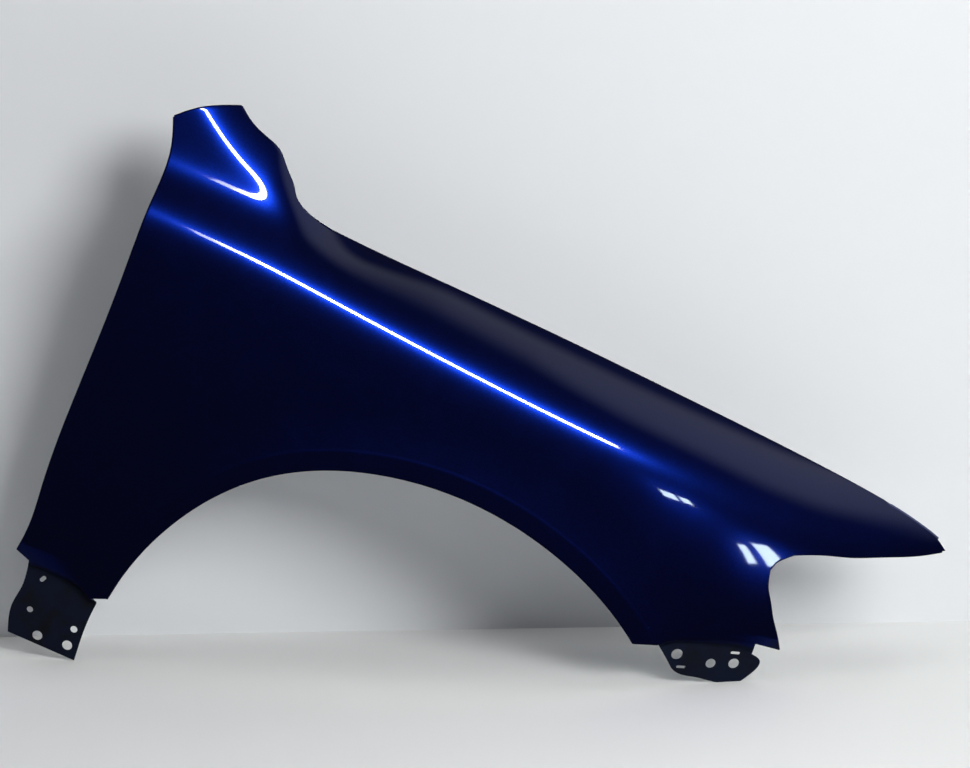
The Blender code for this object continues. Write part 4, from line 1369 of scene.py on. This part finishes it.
def room_way(right, up, front):
    """Direction in the room as the photograph shows it."""
    return (level_right * right + level_up * up + level_front * front).normalized()


def way_of(azimuth, elevation):
    """Direction at an azimuth to the right of the camera and an elevation."""
    a, e = math.radians(azimuth), math.radians(elevation)
    return room_way(math.sin(a) * math.cos(e), math.sin(e), math.cos(a) * math.cos(e))


def soft_box(name, place, aim, along, size, radiance, mirrored, colour=(1.0, 1.0, 1.0)):
    """Rectangular lamp at a place, facing an aim, with its width along a way."""
    light = bpy.data.lights.new(name, "AREA")
    light.shape = "RECTANGLE"
    light.size, light.size_y = size
    light.energy = WATTS_PER_RADIANCE * size[0] * size[1] * radiance
    light.color = colour
    back = (place - aim).normalized()
    side = (along - back * along.dot(back)).normalized()
    lamp = bpy.data.objects.new(name, light)
    lamp.matrix_world = Matrix((side, back.cross(side), back)).transposed().to_4x4()
    lamp.matrix_world.translation = place
    lamp.visible_camera = False
    lamp.visible_glossy = mirrored
    lamp.visible_diffuse = not mirrored
    bpy.context.scene.collection.objects.link(lamp)


print("level way to the right:", [round(v, 3) for v in level_right])

# %% Strip over the crest
# Both ends of the strip's picture on the crest, and the way from there to it
STRIP_REAR = ((-0.396, 0.009, 0.559), (-0.07, 0.46, 0.88))
STRIP_FRONT = ((0.157, 0.016, 0.485), (0.52, 0.32, 0.79))
STRIP_AIM = (-0.10, 0.005, 0.522)
STRIP_DISTANCE = 2.2
STRIP_WIDTH = 0.24

# Start and end of each part along the strip, and its radiance
STRIP_PARTS = ((0.0, 0.06, 12.0), (0.06, 0.13, 30.0), (0.13, 0.985, 66.0), (0.985, 1.03, 26.0))

strip_rear, strip_front = (
    from_wheel(*spot) + room_way(*way) * STRIP_DISTANCE for spot, way in (STRIP_REAR, STRIP_FRONT)
)
strip_run = strip_front - strip_rear
strip_facing = (strip_rear + strip_front) / 2.0 - from_wheel(*STRIP_AIM)
for number, (start, end, radiance) in enumerate(STRIP_PARTS):
    middle = strip_rear + strip_run * ((start + end) / 2.0)
    soft_box(
        "strip_over_crest_" + str(number + 1), middle, middle - strip_facing, strip_run,
        (strip_run.length * (end - start), STRIP_WIDTH), radiance, True,
    )
print("strip lamp", round(strip_run.length, 2), "m long in", len(STRIP_PARTS), "parts")

# %% Window panes
PANE_REACH = 0.40
PANE_TINT = (0.76, 0.94, 1.06)
PANE_RADIANCE = 18.0
ABOVE_NOTCH = (0.240, 0.030, 0.450)
AT_NOTCH = (0.356, 0.066, 0.405)

# Where each pane is seen, azimuth and elevation of the pane, width and height
PANES = (
    ("pane_high_left", ABOVE_NOTCH, (25.8, -19.6), (0.045, 0.032)),
    ("pane_high_right", ABOVE_NOTCH, (33.3, -18.4), (0.030, 0.028)),
    ("pane_notch_left", AT_NOTCH, (36.8, -31.5), (0.020, 0.060)),
    ("pane_notch_right", AT_NOTCH, (44.8, -28.5), (0.040, 0.080)),
)
for name, spot, way, size in PANES:
    aim = from_wheel(*spot)
    place = aim + way_of(*way) * PANE_REACH
    soft_box(name, place, aim, level_right, size, PANE_RADIANCE, True, PANE_TINT)
print("window panes:", len(PANES))

# %% Lamps for the floor and wall
# Azimuth and elevation, distance, width and height, radiance
ROOM_LAMPS = (
    ("room_right", (35.0, 31.0), 3.0, (1.2, 1.0), 13.2),
    ("overhead", (0.0, 75.0), 2.4, (2.4, 1.2), 1.3),
)
floor_aim = (REAR_FOOT + FRONT_FOOT) / 2.0
for name, way, distance, size, radiance in ROOM_LAMPS:
    place = floor_aim + way_of(*way) * distance
    soft_box(name, place, floor_aim, level_right, size, radiance, False)
print("room lamps:", len(ROOM_LAMPS))

# %% [markdown]
# ## The world
# Seen directly, the world is the same pale grey as the wall, so that nothing
# stands out against it from any side. For everything else it is dim, because
# the room in which the photograph was taken was dark except for its lamps. The
# grey band on the top of the fender mirrors one pale region, behind the panel
# and above it, between four soft planes. Only mirrored rays see that region.

# %% World
WORLD_PALE = (0.78, 0.80, 0.82, 1.0)
WORLD_DIM = (0.030, 0.028, 0.034, 1.0)
BAND_PALE = (0.44, 0.47, 0.50, 1.0)

# Each plane of the pale region: its way, and where the mask is nought and one
BAND_PLANES = (
    (room_way(0.355, -0.287, -0.890), (-0.08, 0.20)),
    (room_way(-0.346, -0.255, -0.903), (0.08, -0.03)),
    (level_up, (0.94, 0.80)),
    (level_up, (0.12, 0.34)),
)

world = bpy.data.worlds.new("room")
world.use_nodes = True
bpy.context.scene.world = world
tree = world.node_tree
tree.nodes.clear()
view, out, dim, pick, rays = (
    add_node(tree, kind)
    for kind in ("TexCoord", "OutputWorld", "Background", "MixShader", "LightPath")
)
pale = add_node(tree, "Background", None, {"Color": WORLD_PALE, "Strength": 1.0})
band, output = rays, "Is Glossy Ray"
for way, limits in BAND_PLANES:
    along = add_node(tree, "VectorMath", {"operation": "DOT_PRODUCT"}, {1: tuple(way)})
    edge = {"From Min": limits[0], "From Max": limits[1]}
    ramp = add_node(tree, "MapRange", {"interpolation_type": "SMOOTHSTEP"}, edge)
    both = add_node(tree, "Math", {"operation": "MULTIPLY"})
    wire(
        tree, (view, "Generated", along, 0), (along, "Value", ramp, "Value"),
        (ramp, "Result", both, 0), (band, output, both, 1),
    )
    band, output = both, 0
tree.links.new(mixed(tree, "RGBA", band.outputs[0], WORLD_DIM, BAND_PALE), dim.inputs["Color"])
wire(
    tree, (rays, "Is Camera Ray", pick, 0), (dim, 0, pick, 1), (pale, 0, pick, 2),
    (pick, 0, out, "Surface"),
)
bpy.context.scene.view_settings.view_transform = "Standard"
print("planes round the pale region:", len(BAND_PLANES))
